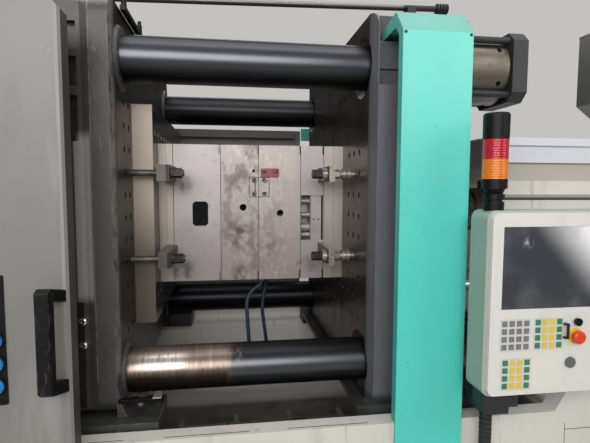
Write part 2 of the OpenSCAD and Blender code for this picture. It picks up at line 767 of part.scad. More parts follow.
// Water hoses from the cavity plate, down behind the front tie bar and back to the rear carrier
hose_d = 16;
hose_left = [
    [-330, -150, 1115], [-330, -150, 1104], [-338, -152, 1088], [-362, -160, 1072], [-386, -170, 1048],
    [-397, -178, 1010], [-395, -184, 950], [-391, -186, 890], [-388, -180, 830], [-386, -160, 780],
    [-385, -120, 735], [-385, -60, 700], [-385, 10, 672], [-385, 90, 648], [-385, 180, 622],
    [-385, 270, 600], [-385, 360, 582], [-385, 450, 570], [-385, 530, 565], [-385, 570, 565], [-385, 588, 565]
];
hose_right = [
    [-300, -60, 1115], [-300, -60, 1102], [-305, -62, 1080], [-314, -64, 1040], [-320, -66, 1000],
    [-323, -66, 955], [-318, -64, 900], [-311, -60, 850], [-305, -52, 805], [-301, -36, 765],
    [-298, -5, 728], [-296, 50, 695], [-296, 130, 662], [-296, 220, 632], [-296, 310, 606],
    [-296, 400, 586], [-296, 480, 572], [-296, 540, 565], [-296, 572, 565], [-296, 588, 565]
];
hose_sides = 10;
function along(p, i) = p[min(i + 1, len(p) - 1)] - p[max(i - 1, 0)];
function unit(v) = v / norm(v);
function ring_points(p, i, d) =
    let(t = unit(along(p, i)), u = unit(cross(t, [1, 0, 0])), w = cross(t, u))
    [for (k = [0:hose_sides - 1], a = 360 * k / hose_sides) p[i] + d / 2 * (cos(a) * u + sin(a) * w)];
module swept_tube(p, d) {
    n = len(p);
    s = hose_sides;
    points = [for (i = [0:n - 1]) each ring_points(p, i, d)];
    faces = concat(
        [[for (k = [0:s - 1]) k]],
        [for (i = [0:n - 2], k = [0:s - 1]) [i * s + k, (i + 1) * s + k, (i + 1) * s + (k + 1) % s]],
        [for (i = [0:n - 2], k = [0:s - 1]) [i * s + k, (i + 1) * s + (k + 1) % s, i * s + (k + 1) % s]],
        [[for (k = [s - 1:-1:0]) (n - 1) * s + k]]
    );
    polyhedron(points = points, faces = faces, convexity = 6);
}
module water_hose_left() {
    color([0.10, 0.30, 0.38]) swept_tube(hose_left, hose_d);
}
module water_hose_right() {
    color([0.10, 0.30, 0.38]) swept_tube(hose_right, hose_d);
}

// Front gate: a boxed sheet panel, slid open to the left at rest
gate_x1 = -886;
gate_x0 = gate_x1 - gate_l;
gate_z0 = 560;
gate_z1 = 1990;
gate_chamfer = 41;
gate_edge = 6;
strip_x0 = -1390;
strip_x1 = -1036;
gate_inner = 26;
win_x0 = -2180;
win_x1 = -1480;
win_z0 = 1180;
win_z1 = 1840;
gate_back = -gate_y + gate_t;
module front_gate() {
    color(pale) difference() {
        translate([0, 0, gate_z0]) linear_extrude(gate_z1 - gate_z0) polygon([
            [gate_x0, -gate_y], [gate_x1, -gate_y], [gate_x1 + gate_edge, -gate_y + gate_edge],
            [gate_x1 + gate_edge, gate_back],
            [gate_x0, gate_back]
        ]);
        // Open folded back
        block([gate_x0 + gate_inner, -gate_y + sheet, gate_z0 + gate_inner],
            [gate_x1 - gate_inner, gate_back + 1, gate_z1 - gate_inner]);
        block([win_x0, -gate_y - 1, win_z0], [win_x1, -gate_y + sheet + 1, win_z1]);
        // Chamfered upper corner at the closing edge
        translate([gate_x1 + gate_edge, -gate_y - 1, gate_z1]) rotate([0, 45, 0])
            cube([gate_chamfer * sqrt(2), 2 * gate_t + 4, gate_chamfer * sqrt(2)], center = true);
        // Seat of the button strip
        block([strip_x0, -gate_y - 1, axis_z - 460], [strip_x1, -gate_y + 2, axis_z - 120]);
    }
}
module gate_window() {
    color([0.75, 0.82, 0.84, 0.4]) block([win_x0 - 30, -gate_y + sheet, win_z0 - 30],
        [win_x1 + 30, -gate_y + sheet + 6, win_z1 + 30]);
}

// Bridge handle: a long grip on two legs
handle_z0 = axis_z - 402;
handle_z1 = axis_z - 152;
handle_x = -976;
handle_foot = -893;
handle_out = 62;
module gate_handle() {
    color(black) {
        hull() {
            translate([handle_x, -gate_y - handle_out, handle_z0])
                cylinder(h = handle_z1 - handle_z0, d = 26, $fn = 32);
            translate([handle_x - 9, -gate_y - handle_out + 8, handle_z0])
                cylinder(h = handle_z1 - handle_z0, d = 20, $fn = 32);
        }
        for (z = [handle_z0, handle_z1 - 34]) translate([0, 0, z]) linear_extrude(34) polygon([
            [handle_x - 6, -gate_y - handle_out - 12], [handle_x + 8, -gate_y - handle_out - 10],
            [handle_foot, -gate_y - 8], [handle_foot, -gate_y], [handle_foot - 40, -gate_y],
            [handle_x - 6, -gate_y - handle_out + 16]
        ]);
    }
}

button_x = -1060;
button_d = 40;
button_z = [axis_z - 288, axis_z - 349, axis_z - 407];
button_travel = 4;
module gate_button_strip() {
    color([0.2, 0.2, 0.22]) difference() {
        y_plate(-gate_y - 4, -gate_y + 1.7, [strip_x0 + 0.3, axis_z - 459.7], [strip_x1 - 0.3,
            axis_z - 120.3], 6);
        for (z = button_z) translate([button_x, -gate_y - 5, z]) rotate([-90, 0, 0])
            cylinder(h = 10, d = button_d - 6, $fn = 48);
    }
    color(pale) for (z = button_z) translate([button_x, -gate_y - 4, z]) rotate([90, 0, 0]) difference() {
        cylinder(h = 6, d = button_d + 6, $fn = 48);
        translate([0, 0, -1]) cylinder(h = 8, d = button_d + 0.6, $fn = 48);
    }
}
module gate_button(z) {
    color([0.05, 0.45, 0.75]) translate([button_x, -gate_y - 8.3, z]) rotate([90, 0, 0]) {
        cylinder(h = 7, d = button_d, $fn = 48);
        translate([0, 0, 7]) cylinder(h = 3, d1 = button_d, d2 = button_d - 8, $fn = 48);
        translate([0, 0, -10 + button_travel]) cylinder(h = 10, d = button_d - 7, $fn = 48);
    }
}
module gate_button_upper() { gate_button(button_z[0]); }
module gate_button_middle() { gate_button(button_z[1]); }
module gate_button_lower() { gate_button(button_z[2]); }

// Rails that carry the gates
rail_x0 = -3300;
module gate_rails() {
    color([0.6, 0.61, 0.6]) {
        // Lower front rail on the bed's side, and the upper front rail on the clamp's frame
        block([rail_x0, gate_back + 0.3, gate_z0 - 26], [30, bed_front, gate_z0 - 0.3]);
        block([rail_x0, gate_back + 0.3, gate_z1 + 0.3], [-1150, bed_front + 60, gate_z1 + 40]);
        for (x = [rail_x0, -2420]) block([x, gate_back + 0.3, ledge_z], [x + 60, bed_front + 60,
            gate_z1 + 0.3]);
        block([rail_x0, gate_back + 0.3, ledge_z], [rail_x0 + 60, bed_front + 60, ledge_z + 2]);
        // Rear rails
        block([-2500, -bed_front, ledge_z - 70], [30, -bed_front + 36, ledge_z - 40]);
        block([-2500, -bed_front - 8, rear_z1 + 0.3], [-1100, -bed_front + 36, rear_z1 + 34]);
        for (x = [-2500, -1560]) block([x, -bed_front - 56, ledge_z], [x + 60, -bed_front - 8.3, rear_z1 + 34]);
    }
}

// Rear gate: low, shut at rest, with a rail along its top
rear_z1 = 1855;
rear_x0 = -1010;
rear_x1 = -26;
rear_out = -bed_front + 4 + gate_t;
pull_out = 50;
pull_x = rear_x0 + 12;
module rear_gate() {
    color(pale) difference() {
        block([rear_x0, -bed_front + 4, ledge_z - 39.7], [rear_x1, -bed_front + 4 + gate_t, rear_z1]);
        block([rear_x0 + 30, -bed_front + 4 + sheet, ledge_z - 10],
            [rear_x1 - 30, -bed_front + 61 + gate_t, rear_z1 - 70]);
    }
    color([0.7, 0.7, 0.7])
        block([rear_x0, -bed_front - 8, rear_z1 - 46], [rear_x1 - 40, -bed_front + 4, rear_z1 - 4]);
    // Folded pull along the closing edge
    color(pale) {
        block([pull_x, rear_out - 1, axis_z - 400], [pull_x + sheet, rear_out + pull_out, axis_z - 100]);
        block([pull_x, rear_out + pull_out - sheet, axis_z - 400], [pull_x + 28, rear_out + pull_out,
            axis_z - 100]);
    }
}

// Folded cover over the fixed platen: front, sloping facet and roof, with a return down the left side
cover_x0 = 43;
cover_x1 = cover_x0 + cover_w;
cover_y = bed_w / 2 + 9;
cover_z0 = 150;
cover_z1 = 2040;
facet_z = 1968;
cover_fall = 22;
cover_back = platen_w / 2 - 63;
cover_return = 34;
module cover_outline(g) {
    over = g > 0 ? 1 : 0;
    polygon([
        [-cover_y + g, cover_z0 - over], [-cover_y + g, facet_z - 0.4 * g], [-cover_y + 62 + 0.4 * g,
            cover_z1 - g],
        [-cover_back + over, cover_z1 - cover_fall - g], [-cover_back + over, cover_z0 - over]
    ]);
}
module platen_cover() {
    union() {
        difference() {
            translate([cover_x0, 0, 0]) rotate([90, 0, 90]) linear_extrude(cover_w) cover_outline(0);
            translate([cover_x0 - 1, 0, 0]) rotate([90, 0, 90]) linear_extrude(cover_w + 2)
                cover_outline(sheet);
        }
        // Returns: a narrow one on the front and a deeper one under the roof
        for (x = [cover_x0, cover_x1 - sheet]) {
            block([x, -cover_y + sheet - 1, cover_z0], [x + sheet, bed_front, facet_z - 2]);
            block([x, -cover_y + sheet - 1, ledge_z + 0.3], [x + sheet, -cover_y + cover_return, facet_z - 2]);
            translate([x, 0, 0]) rotate([90, 0, 90]) linear_extrude(sheet) polygon([
                [-cover_y + 1, facet_z - 4], [-cover_y + 62, cover_z1 - 2], [-cover_back,
                    cover_z1 - cover_fall - 2],
                [-cover_back, cover_z1 - cover_fall - 28], [-cover_y + 62, cover_z1 - 46],
                [-cover_y + cover_return, facet_z - 4]
            ]);
        }
    }
}
module platen_covers() {
    color(teal) {
        platen_cover();
        mirror([0, 1, 0]) platen_cover();
        // End cap of the rear guard rail
        block([-21, cover_y - 19, rear_z1 - 60], [cover_x0 + 1, cover_y, rear_z1 + 14]);
    }
}

// Mechanical safety rod over the clamp, fixed on the right platen and passing over the moving one
safety_y = 0;
safety_z = axis_z + platen_h / 2 + 250;
safety_x0 = x_end_face - 150;
safety_x1 = fixed_t + 150;
fin_pitch = 15;
safety_tilt = 1.5;
module safety_rod() {
    color([0.6, 0.6, 0.58]) translate([0, safety_y, safety_z]) rotate([0, -safety_tilt, 0])
        x_rod(safety_x0, safety_x1, 26, 48);
    color(black) translate([0, safety_y, safety_z]) rotate([0, -safety_tilt, 0]) {
        for (k = [0:3]) translate([safety_x1 + k * fin_pitch, 0, 0]) x_rod(0, 8, 46, 48);
        x_rod(safety_x1 - 2, safety_x1 + 3 * fin_pitch + 8, 32, 48);
    }
    color(casting) {
        block([x_fixed_back, safety_y - 30, axis_z + platen_h / 2 - 90],
            [x_fixed_back + 40, safety_y + 30, safety_z + 10]);
        block([x_end_face - 120, safety_y - 30, axis_z + platen_h / 2],
            [x_end_face - 60, safety_y + 30, safety_z - 50]);
    }
}

// Operator panel
panel_x0 = 258;
panel_x1 = panel_x0 + panel_w;
panel_y = bed_front - panel_out;
panel_z1 = axis_z + 36;
panel_z0 = panel_z1 - panel_h;
bezel_t = 14;
screen_lo = [panel_x0 + 33, axis_z - 238];
screen_hi = [panel_x0 + 340, axis_z - 3];
module panel_housing() {
    color([0.62, 0.68, 0.62]) y_plate(panel_y + bezel_t, panel_y + panel_d,
        [panel_x0 - 10, panel_z0 - 6], [panel_x1 + 10, panel_z1 + 6], 26);
    color([0.84, 0.84, 0.82]) difference() {
        y_plate(panel_y, panel_y + bezel_t, [panel_x0, panel_z0], [panel_x1, panel_z1], 20);
        block([screen_lo.x, panel_y - 1, screen_lo.y], [screen_hi.x, panel_y + 6, screen_hi.y]);
        translate([estop_x, panel_y - 1, estop_z]) rotate([-90, 0, 0]) cylinder(h = 14, d = 22.4, $fn = 48);
        translate([start_x, panel_y - 1, start_z]) rotate([-90, 0, 0]) cylinder(h = 14, d = 16.4, $fn = 48);
    }
    // Bracket latch beside the keys, and the round interface cap
    color(black) for (z = [0, 40]) block([486, panel_y - 10, axis_z - 327 + z], [497, panel_y + 1,
        axis_z - 322 + z]);
    color(black) block([493, panel_y - 12, axis_z - 327], [498, panel_y - 7, axis_z - 282]);
    color([0.45, 0.46, 0.46]) translate([513, panel_y + 1, axis_z - 400]) rotate([90, 0, 0])
        cylinder(h = 6, d = 32, $fn = 48);
}
module panel_screen() {
    color([0.1, 0.11, 0.13]) block([screen_lo.x + 0.3, panel_y + 2, screen_lo.y + 0.3],
        [screen_hi.x - 0.3, panel_y + 5.7, screen_hi.y - 0.3]);
}

key_w = 14.5;
key_px = 18.7;
key_pz = 20.4;
module key_block(x, z, tint) {
    for (c = [0:3], r = [0:3]) color(tint[c])
        y_plate(panel_y - 1.5, panel_y - 0.3, [x + c * key_px - key_w / 2, z - r * key_pz - key_w / 2],
            [x + c * key_px + key_w / 2, z - r * key_pz + key_w / 2], 2);
}
key_green = [0.05, 0.45, 0.30];
key_yellow = [0.90, 0.75, 0.25];
key_grey = [0.55, 0.55, 0.55];
module panel_keypads() {
    key_block(303, axis_z - 279, [key_grey, key_grey, key_grey, key_grey]);
    key_block(398, axis_z - 276, [key_green, key_yellow, key_yellow, key_green]);
    key_block(304, axis_z - 384, [key_green, key_yellow, key_yellow, key_green]);
    color([0.82, 0.82, 0.80]) y_plate(panel_y - 0.3, panel_y, [290, axis_z - 458], [368, axis_z - 266], 4);
    color([0.82, 0.82, 0.80]) y_plate(panel_y - 0.3, panel_y, [385, axis_z - 458], [468, axis_z - 262], 4);
}
estop_x = 526;
estop_z = axis_z - 322;
start_x = 528;
start_z = axis_z - 279;
module estop_button() {
    color([0.85, 0.25, 0.08]) translate([estop_x, panel_y, estop_z]) rotate([90, 0, 0]) {
        translate([0, 0, 6]) cylinder(h = 6, d1 = 26, d2 = 38, $fn = 48);
        translate([0, 0, 12]) cylinder(h = 8, d = 38, $fn = 48);
        translate([0, 0, 20]) cylinder(h = 4, d1 = 38, d2 = 30, $fn = 48);
        translate([0, 0, -5]) cylinder(h = 12, d = 22, $fn = 48);
    }
}
module start_button() {
    color(black) translate([start_x, panel_y, start_z]) rotate([90, 0, 0]) {
        translate([0, 0, 5.5]) cylinder(h = 7, d = 22, $fn = 48);
        translate([0, 0, -5]) cylinder(h = 11, d = 16, $fn = 48);
    }
}

arm_z0 = axis_z - 600;
arm_z1 = axis_z - 545;
arm_y = bed_front + 37;
conduit_y = bed_front - 40;
conduit_z0 = 420;
conduit_ribs = 25;
conduit_pitch = (arm_z1 - 30 - conduit_z0 - 5) / (conduit_ribs + 1);
module panel_arm() {
    color([0.2, 0.2, 0.21]) {
        translate([0, arm_y + 50, 0]) rotate([90, 0, 0]) linear_extrude(50) polygon([
            [150, arm_z0], [445, arm_z0], [395, arm_z1], [150, arm_z1]
        ]);
        block([160, arm_y, ledge_z], [230, bed_front + ledge_y - 1, arm_z0 + 1]);
        block([285, conduit_y - 60, arm_z1 - 30], [365, arm_y + 50, arm_z1 + 2]);
        block([270, conduit_y - 80, arm_z1 + 1], [380, conduit_y - 20, panel_z0 - 6.3]);
    }
    // Ribbed conduit down to the bed
    color(black) translate([328, conduit_y, conduit_z0]) rotate_extrude($fn = 32) polygon(concat(
        [[0, 0]],
        [for (k = [0:conduit_ribs]) each [[19, k * conduit_pitch + 2], [19, k * conduit_pitch + 9],
            [16, k * conduit_pitch + 11], [16, k * conduit_pitch + 14]]],
        [[0, arm_z1 - 29 - conduit_z0]]
    ));
    color(black) block([300, conduit_y - 25, conduit_z0 - 40], [356, bed_front, conduit_z0 + 1]);
}

tower_x = 285;
tower_y = bed_front - 110;
tower_z = panel_z1 + 6;
module tower_ring(z0, z1, d0, d1) {
    translate([tower_x, tower_y, tower_z + z0]) cylinder(h = z1 - z0, d1 = d0, d2 = d1, $fn = 64);
}
module signal_tower() {
    color(black) {
        tower_ring(0, 24, 56, 56);
        tower_ring(24, 32, 46, 46);
        tower_ring(32, 46, 58, 58);
        tower_ring(46, 62, 46, 60);
        tower_ring(61, 88, tower_d, tower_d);
        tower_ring(200.3, 268, tower_d + 1, tower_d + 2);
        tower_ring(268, 273, tower_d + 2, tower_d - 4);
        tower_ring(87, 201, 14, 14);
    }
}
module lamp(z0, z1) {
    difference() {
        tower_ring(z0, z1, tower_d, tower_d);
        tower_ring(z0 - 1, z1 - 3, tower_d - 8, tower_d - 8);
        tower_ring(z1 - 4, z1 + 1, 14.6, 14.6);
    }
}
module lamp_amber() { color([0.95, 0.45, 0.05]) lamp(88.3, 144); }
module lamp_red() { color([0.85, 0.05, 0.1]) lamp(144.3, 200); }

// Injection unit
nozzle_x = 10;
barrel_x0 = 150;
barrel_x1 = barrel_x0 + barrel_l;
flight = 80;
tip_x = 190;
module barrel() {
    color(steel) difference() {
        at_axis() rotate([0, 90, 0]) rotate_extrude($fn = 96) polygon([
            [4, nozzle_x + 0.3], [12, nozzle_x + 0.3], [22, nozzle_x + 14], [28, 60], [28, 110], [40,
                116], [40, 135],
            [80, barrel_x0], [barrel_d / 2, barrel_x0 + 20], [barrel_d / 2, barrel_x1],
            [screw_d / 2 + screw_clear, barrel_x1],
            [screw_d / 2 + screw_clear, tip_x], [4, barrel_x0]
        ]);
        translate([barrel_x1 - 180, 0, axis_z]) cylinder(h = 200, d = 70, $fn = 48);
    }
}
band_t = 9;
module heater_bands() {
    color([0.66, 0.62, 0.5]) at_axis() for (k = [0:5]) translate([barrel_x0 + 60 + k * 235, 0, 0]) {
        difference() {
            x_rod(0, 190, barrel_d + 2 * band_t, 64);
            x_rod(-1, 191, barrel_d + 0.4, 64);
        }
        block([70, -22, barrel_d / 2 + band_t - 1], [120, 22, barrel_d / 2 + 46]);
    }
}
module plasticising_screw() {
    color([0.7, 0.7, 0.7]) at_axis() {
        x_rod(tip_x + 62, barrel_x1 + 60, screw_d * 0.66, 48);
        translate([tip_x + 12, 0, 0]) rotate([0, 90, 0]) cylinder(h = 50, d1 = 12, d2 = screw_d * 0.66,
            $fn = 48);
        for (k = [0:19]) translate([tip_x + 66 + k * flight, 0, 0]) x_rod(0, 12, screw_d, 64);
    }
}
feed_x = barrel_x1 - 180;
house_l = 330;
house_y = 260;
base_y = 420;
base_z = 930;
base_t = 60;
base_l = 1500;
stop_x = barrel_x1 + 1100;
stop_t = 60;
ram_y = 180;
ram_d = 70;
module injection_carriage() {
    color(pale) difference() {
        union() {
            block([barrel_x1 - house_l, -house_y, base_z + 30], [barrel_x1 + 20, house_y, hopper_z0]);
            block([barrel_x1 - house_l, -base_y, base_z], [barrel_x1 + base_l, base_y, base_z + base_t]);
            block([stop_x, -house_y, base_z + 30], [stop_x + stop_t, house_y, hopper_z0]);
        }
        at_axis() x_rod(barrel_x1 - house_l - 1, barrel_x1 + 0.3, barrel_d + 0.4, 64);
        at_axis() x_rod(barrel_x1, barrel_x1 + 21, 120, 64);
        translate([feed_x, 0, axis_z]) cylinder(h = 200, d = 70, $fn = 48);
        for (s = [-1, 1]) translate([0, s * guide_bar_y, guide_bar_z])
            x_rod(barrel_x1 - house_l - 1, barrel_x1 + base_l + 1, guide_bar_d + 0.2, 48);
        for (s = [-1, 1]) translate([0, s * ram_y, axis_z]) x_rod(barrel_x1 - 100, stop_x + stop_t + 1,
            ram_d + 0.2, 48);
    }
    color([0.75, 0.76, 0.78]) for (s = [-1, 1]) translate([0, s * ram_y, axis_z])
        x_rod(barrel_x1 - 100, stop_x + stop_t + 1, ram_d, 48);
}
guide_bar_y = 340;
guide_bar_z = 945;
guide_bar_d = 70;
guides_x = 740;
module injection_guides() {
    color([0.75, 0.76, 0.78]) for (s = [-1, 1]) translate([0, s * guide_bar_y, guide_bar_z]) {
        x_rod(guides_x, bed_x1 - 40, guide_bar_d, 48);
    }
    // Strips under the sliding guard
    color(casting) for (s = [-1, 1]) block([step_x + 100, s * (guard_y - 22) - 18, inject_top],
        [1660, s * (guard_y - 22) + 18, guard_z0 - 0.3]);
    color(casting) for (s = [-1, 1], x = [guides_x, bed_x1 - 100]) difference() {
        block([x, s * guide_bar_y - 50, inject_top], [x + 60, s * guide_bar_y + 50, guide_bar_z + 70]);
        translate([0, s * guide_bar_y, guide_bar_z]) x_rod(x - 1, x + 61, guide_bar_d, 48);
    }
}
drive_x = barrel_x1 + 130;
module screw_drive() {
    color([0.25, 0.26, 0.28]) at_axis() difference() {
        union() {
            rotate([90, 0, 90]) translate([0, 0, drive_x]) linear_extrude(140) round_rect(500, 260, 30);
            x_rod(drive_x + 139, drive_x + 560, 240, 64);
            x_rod(drive_x + 559, drive_x + 590, 200, 64);
        }
        for (s = [-1, 1]) translate([0, s * ram_y, 0]) x_rod(drive_x - 1, drive_x + 141, ram_d + 0.4, 48);
        x_rod(drive_x - 1, drive_x + 60, screw_d * 0.66 + 0.4, 48);
    }
}
hopper_z0 = axis_z + 190;
hopper_base = 60;
hopper_wall = 320;
hopper_straight = 380;
hopper_sheet = 4;
module hopper_form(throat, width, low, high) {
    rotate(45) translate([0, 0, low]) cylinder(h = hopper_wall, d1 = throat * sqrt(2),
        d2 = width * sqrt(2), $fn = 4);
    translate([-width / 2, -width / 2, low + hopper_wall - 1]) cube([width, width, hopper_straight + high]);
}
module hopper() {
    color([0.68, 0.69, 0.70]) translate([feed_x, 0, hopper_z0]) {
        difference() {
            union() {
                translate([-110, -110, 0]) cube([220, 220, hopper_base]);
                hopper_form(200, hopper_w, hopper_base, 0);
            }
            translate([0, 0, -1]) cylinder(h = hopper_base + 2, d = 70, $fn = 48);
            hopper_form(200 - 2 * hopper_sheet, hopper_w - 2 * hopper_sheet, hopper_base + 0.9, 1);
        }
        // Hinge ears at the back of the rim
        for (x = [-60, 60]) translate([x, hopper_w / 2 + 14, hopper_base + hopper_wall + hopper_straight - 10])
            difference() {
                block([-8, -15, -30], [8, 14, 14]);
                x_rod(-9, 9, 10.2, 32);
            }
    }
}
module hopper_lid() {
    color([0.72, 0.73, 0.74]) translate([feed_x, 0,
        hopper_z0 + hopper_base + hopper_wall + hopper_straight - 0.7]) {
        difference() {
            translate([-hopper_w / 2 - 2, -hopper_w / 2 - 2, 0]) cube([hopper_w + 4, hopper_w + 4, 8]);
            for (x = [-60, 60]) block([x - 9, hopper_w / 2 - 12, -1], [x + 9, hopper_w / 2 + 30, 9]);
        }
        translate([0, 0, 7]) cylinder(h = 12, d1 = 120, d2 = 100, $fn = 48);
        difference() {
            block([-50, hopper_w / 2 - 20, -12], [50, hopper_w / 2 + 22, 8]);
            block([-51, hopper_w / 2 - 40, -13], [51, hopper_w / 2 + 2, 0]);
        }
        translate([0, hopper_w / 2 + 14, -9.3]) x_rod(-70, 70, 10, 32);
    }
}

// Sliding guard over the nozzle and barrel, with the steps and rail of its front
guard_y = platen_w / 2;
guard_x0 = 400;
guard_x1 = 1250;
guard_z0 = 1010;
guard_z1 = axis_z + 276;
module guard_profile() {
    y = guard_y;
    polygon([
        [-y, guard_z0], [-y, axis_z + 69], [-y - 8, axis_z + 74], [-y - 8, axis_z + 82], [-y, axis_z + 86],
        [-y, axis_z + 129], [-y + 12, axis_z + 131], [-y + 12, axis_z + 189], [-y, axis_z + 192],
        [-y, axis_z + 246], [-y - 10, axis_z + 250], [-y - 10, guard_z1], [y + 10, guard_z1], [y, guard_z0]
    ]);
}
module guard_inside() {
    y = guard_y - sheet;
    polygon([
        [-y, guard_z0 - 1], [-y, axis_z + 129 - sheet], [-y + 12, axis_z + 131 - sheet],
        [-y + 12, axis_z + 189 + sheet], [-y, axis_z + 192 + sheet], [-y, guard_z1 - sheet],
        [y, guard_z1 - sheet], [y, guard_z0 - 1]
    ]);
}
module injection_guard() {
    color([0.80, 0.80, 0.77]) difference() {
        translate([guard_x0, 0, 0]) rotate([90, 0, 90]) linear_extrude(guard_x1 - guard_x0) guard_profile();
        translate([guard_x0 - 1, 0, 0]) rotate([90, 0, 90]) linear_extrude(guard_x1 - guard_x0 + 2)
            guard_inside();
    }
}

bed_frame();
levelling_feet();
parts_chute();
fixed_platen();
moving_platen();
end_platen();
tie_bars();
tie_bar_nuts();
nut_retainers();
tie_bar_bushes();
platen_shoes();
clamp_cylinder();
clamp_piston();
ejector_rod();
adapter_plate();
mould_clamp_plate_moving();
mould_support_plate();
mould_core_plate();
mould_cavity_plate();
mould_runner_plate();
mould_clamp_plate_fixed();
mould_guide_pins();
mould_ejector_plate();
interlock_key();
interlock_socket();
mould_strap();
mould_clamps_moving();
mould_clamps_fixed();
locating_ring();
water_hose_left();
water_hose_right();
front_gate();
gate_window();
gate_handle();
gate_button_strip();
gate_button_upper();
gate_button_middle();
gate_button_lower();
gate_rails();
rear_gate();
platen_covers();
safety_rod();
panel_housing();
panel_screen();
panel_keypads();
estop_button();
start_button();
panel_arm();
signal_tower();
lamp_red();
lamp_amber();
barrel();
heater_bands();
plasticising_screw();
screw_drive();
hopper();
hopper_lid();
injection_carriage();
injection_guides();
injection_guard();
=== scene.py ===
import json
import math

import bmesh
import bpy
from mathutils import Matrix, Vector


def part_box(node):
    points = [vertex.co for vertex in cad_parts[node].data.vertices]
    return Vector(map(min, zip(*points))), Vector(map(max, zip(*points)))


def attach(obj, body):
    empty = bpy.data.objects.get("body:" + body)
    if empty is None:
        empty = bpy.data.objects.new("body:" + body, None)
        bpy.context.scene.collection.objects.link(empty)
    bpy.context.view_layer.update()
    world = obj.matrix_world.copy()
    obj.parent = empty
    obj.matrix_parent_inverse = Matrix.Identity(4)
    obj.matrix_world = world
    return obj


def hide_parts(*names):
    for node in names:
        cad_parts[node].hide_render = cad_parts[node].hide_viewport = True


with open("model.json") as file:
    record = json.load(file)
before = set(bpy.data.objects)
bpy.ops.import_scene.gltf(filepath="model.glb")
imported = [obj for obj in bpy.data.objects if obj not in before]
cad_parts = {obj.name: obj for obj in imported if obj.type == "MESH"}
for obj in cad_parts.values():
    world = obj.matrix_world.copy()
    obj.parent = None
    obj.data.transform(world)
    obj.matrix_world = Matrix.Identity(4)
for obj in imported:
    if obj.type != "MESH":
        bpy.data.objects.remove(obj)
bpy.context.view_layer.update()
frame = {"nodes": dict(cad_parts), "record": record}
nodes = frame["nodes"]

# Camera: where the photographer stood, in metres and degrees, and the focal length in the photo's pixels
PHOTO_W = 590
PHOTO_FOCAL = 450.3
SENSOR = 36.0
CAMERA_AT = (-0.4616, -2.0681, 1.5064)
CAMERA_YAW = 8.14
CAMERA_PITCH = -4.40
CAMERA_ROLL = 0.19


def make_camera():
    data = bpy.data.cameras.new("camera")
    data.sensor_width = SENSOR
    data.lens = PHOTO_FOCAL / PHOTO_W * SENSOR
    data.clip_start = 0.05
    camera = bpy.data.objects.new("camera", data)
    turn = (
        Matrix.Rotation(math.radians(-CAMERA_YAW), 4, "Z")
        @ Matrix.Rotation(math.radians(90 + CAMERA_PITCH), 4, "X")
        @ Matrix.Rotation(math.radians(CAMERA_ROLL), 4, "Z")
    )
    camera.matrix_world = Matrix.Translation(CAMERA_AT) @ turn
    bpy.context.scene.collection.objects.link(camera)
    bpy.context.scene.camera = camera


make_camera()


# Materials
def linear(hexcode):
    """A colour written as a web colour, in the linear values that nodes use."""
    parts = [int(hexcode[i : i + 2], 16) / 255 for i in (1, 3, 5)]
    return tuple(c / 12.92 if c < 0.04045 else ((c + 0.055) / 1.055) ** 2.4 for c in parts) + (1.0,)


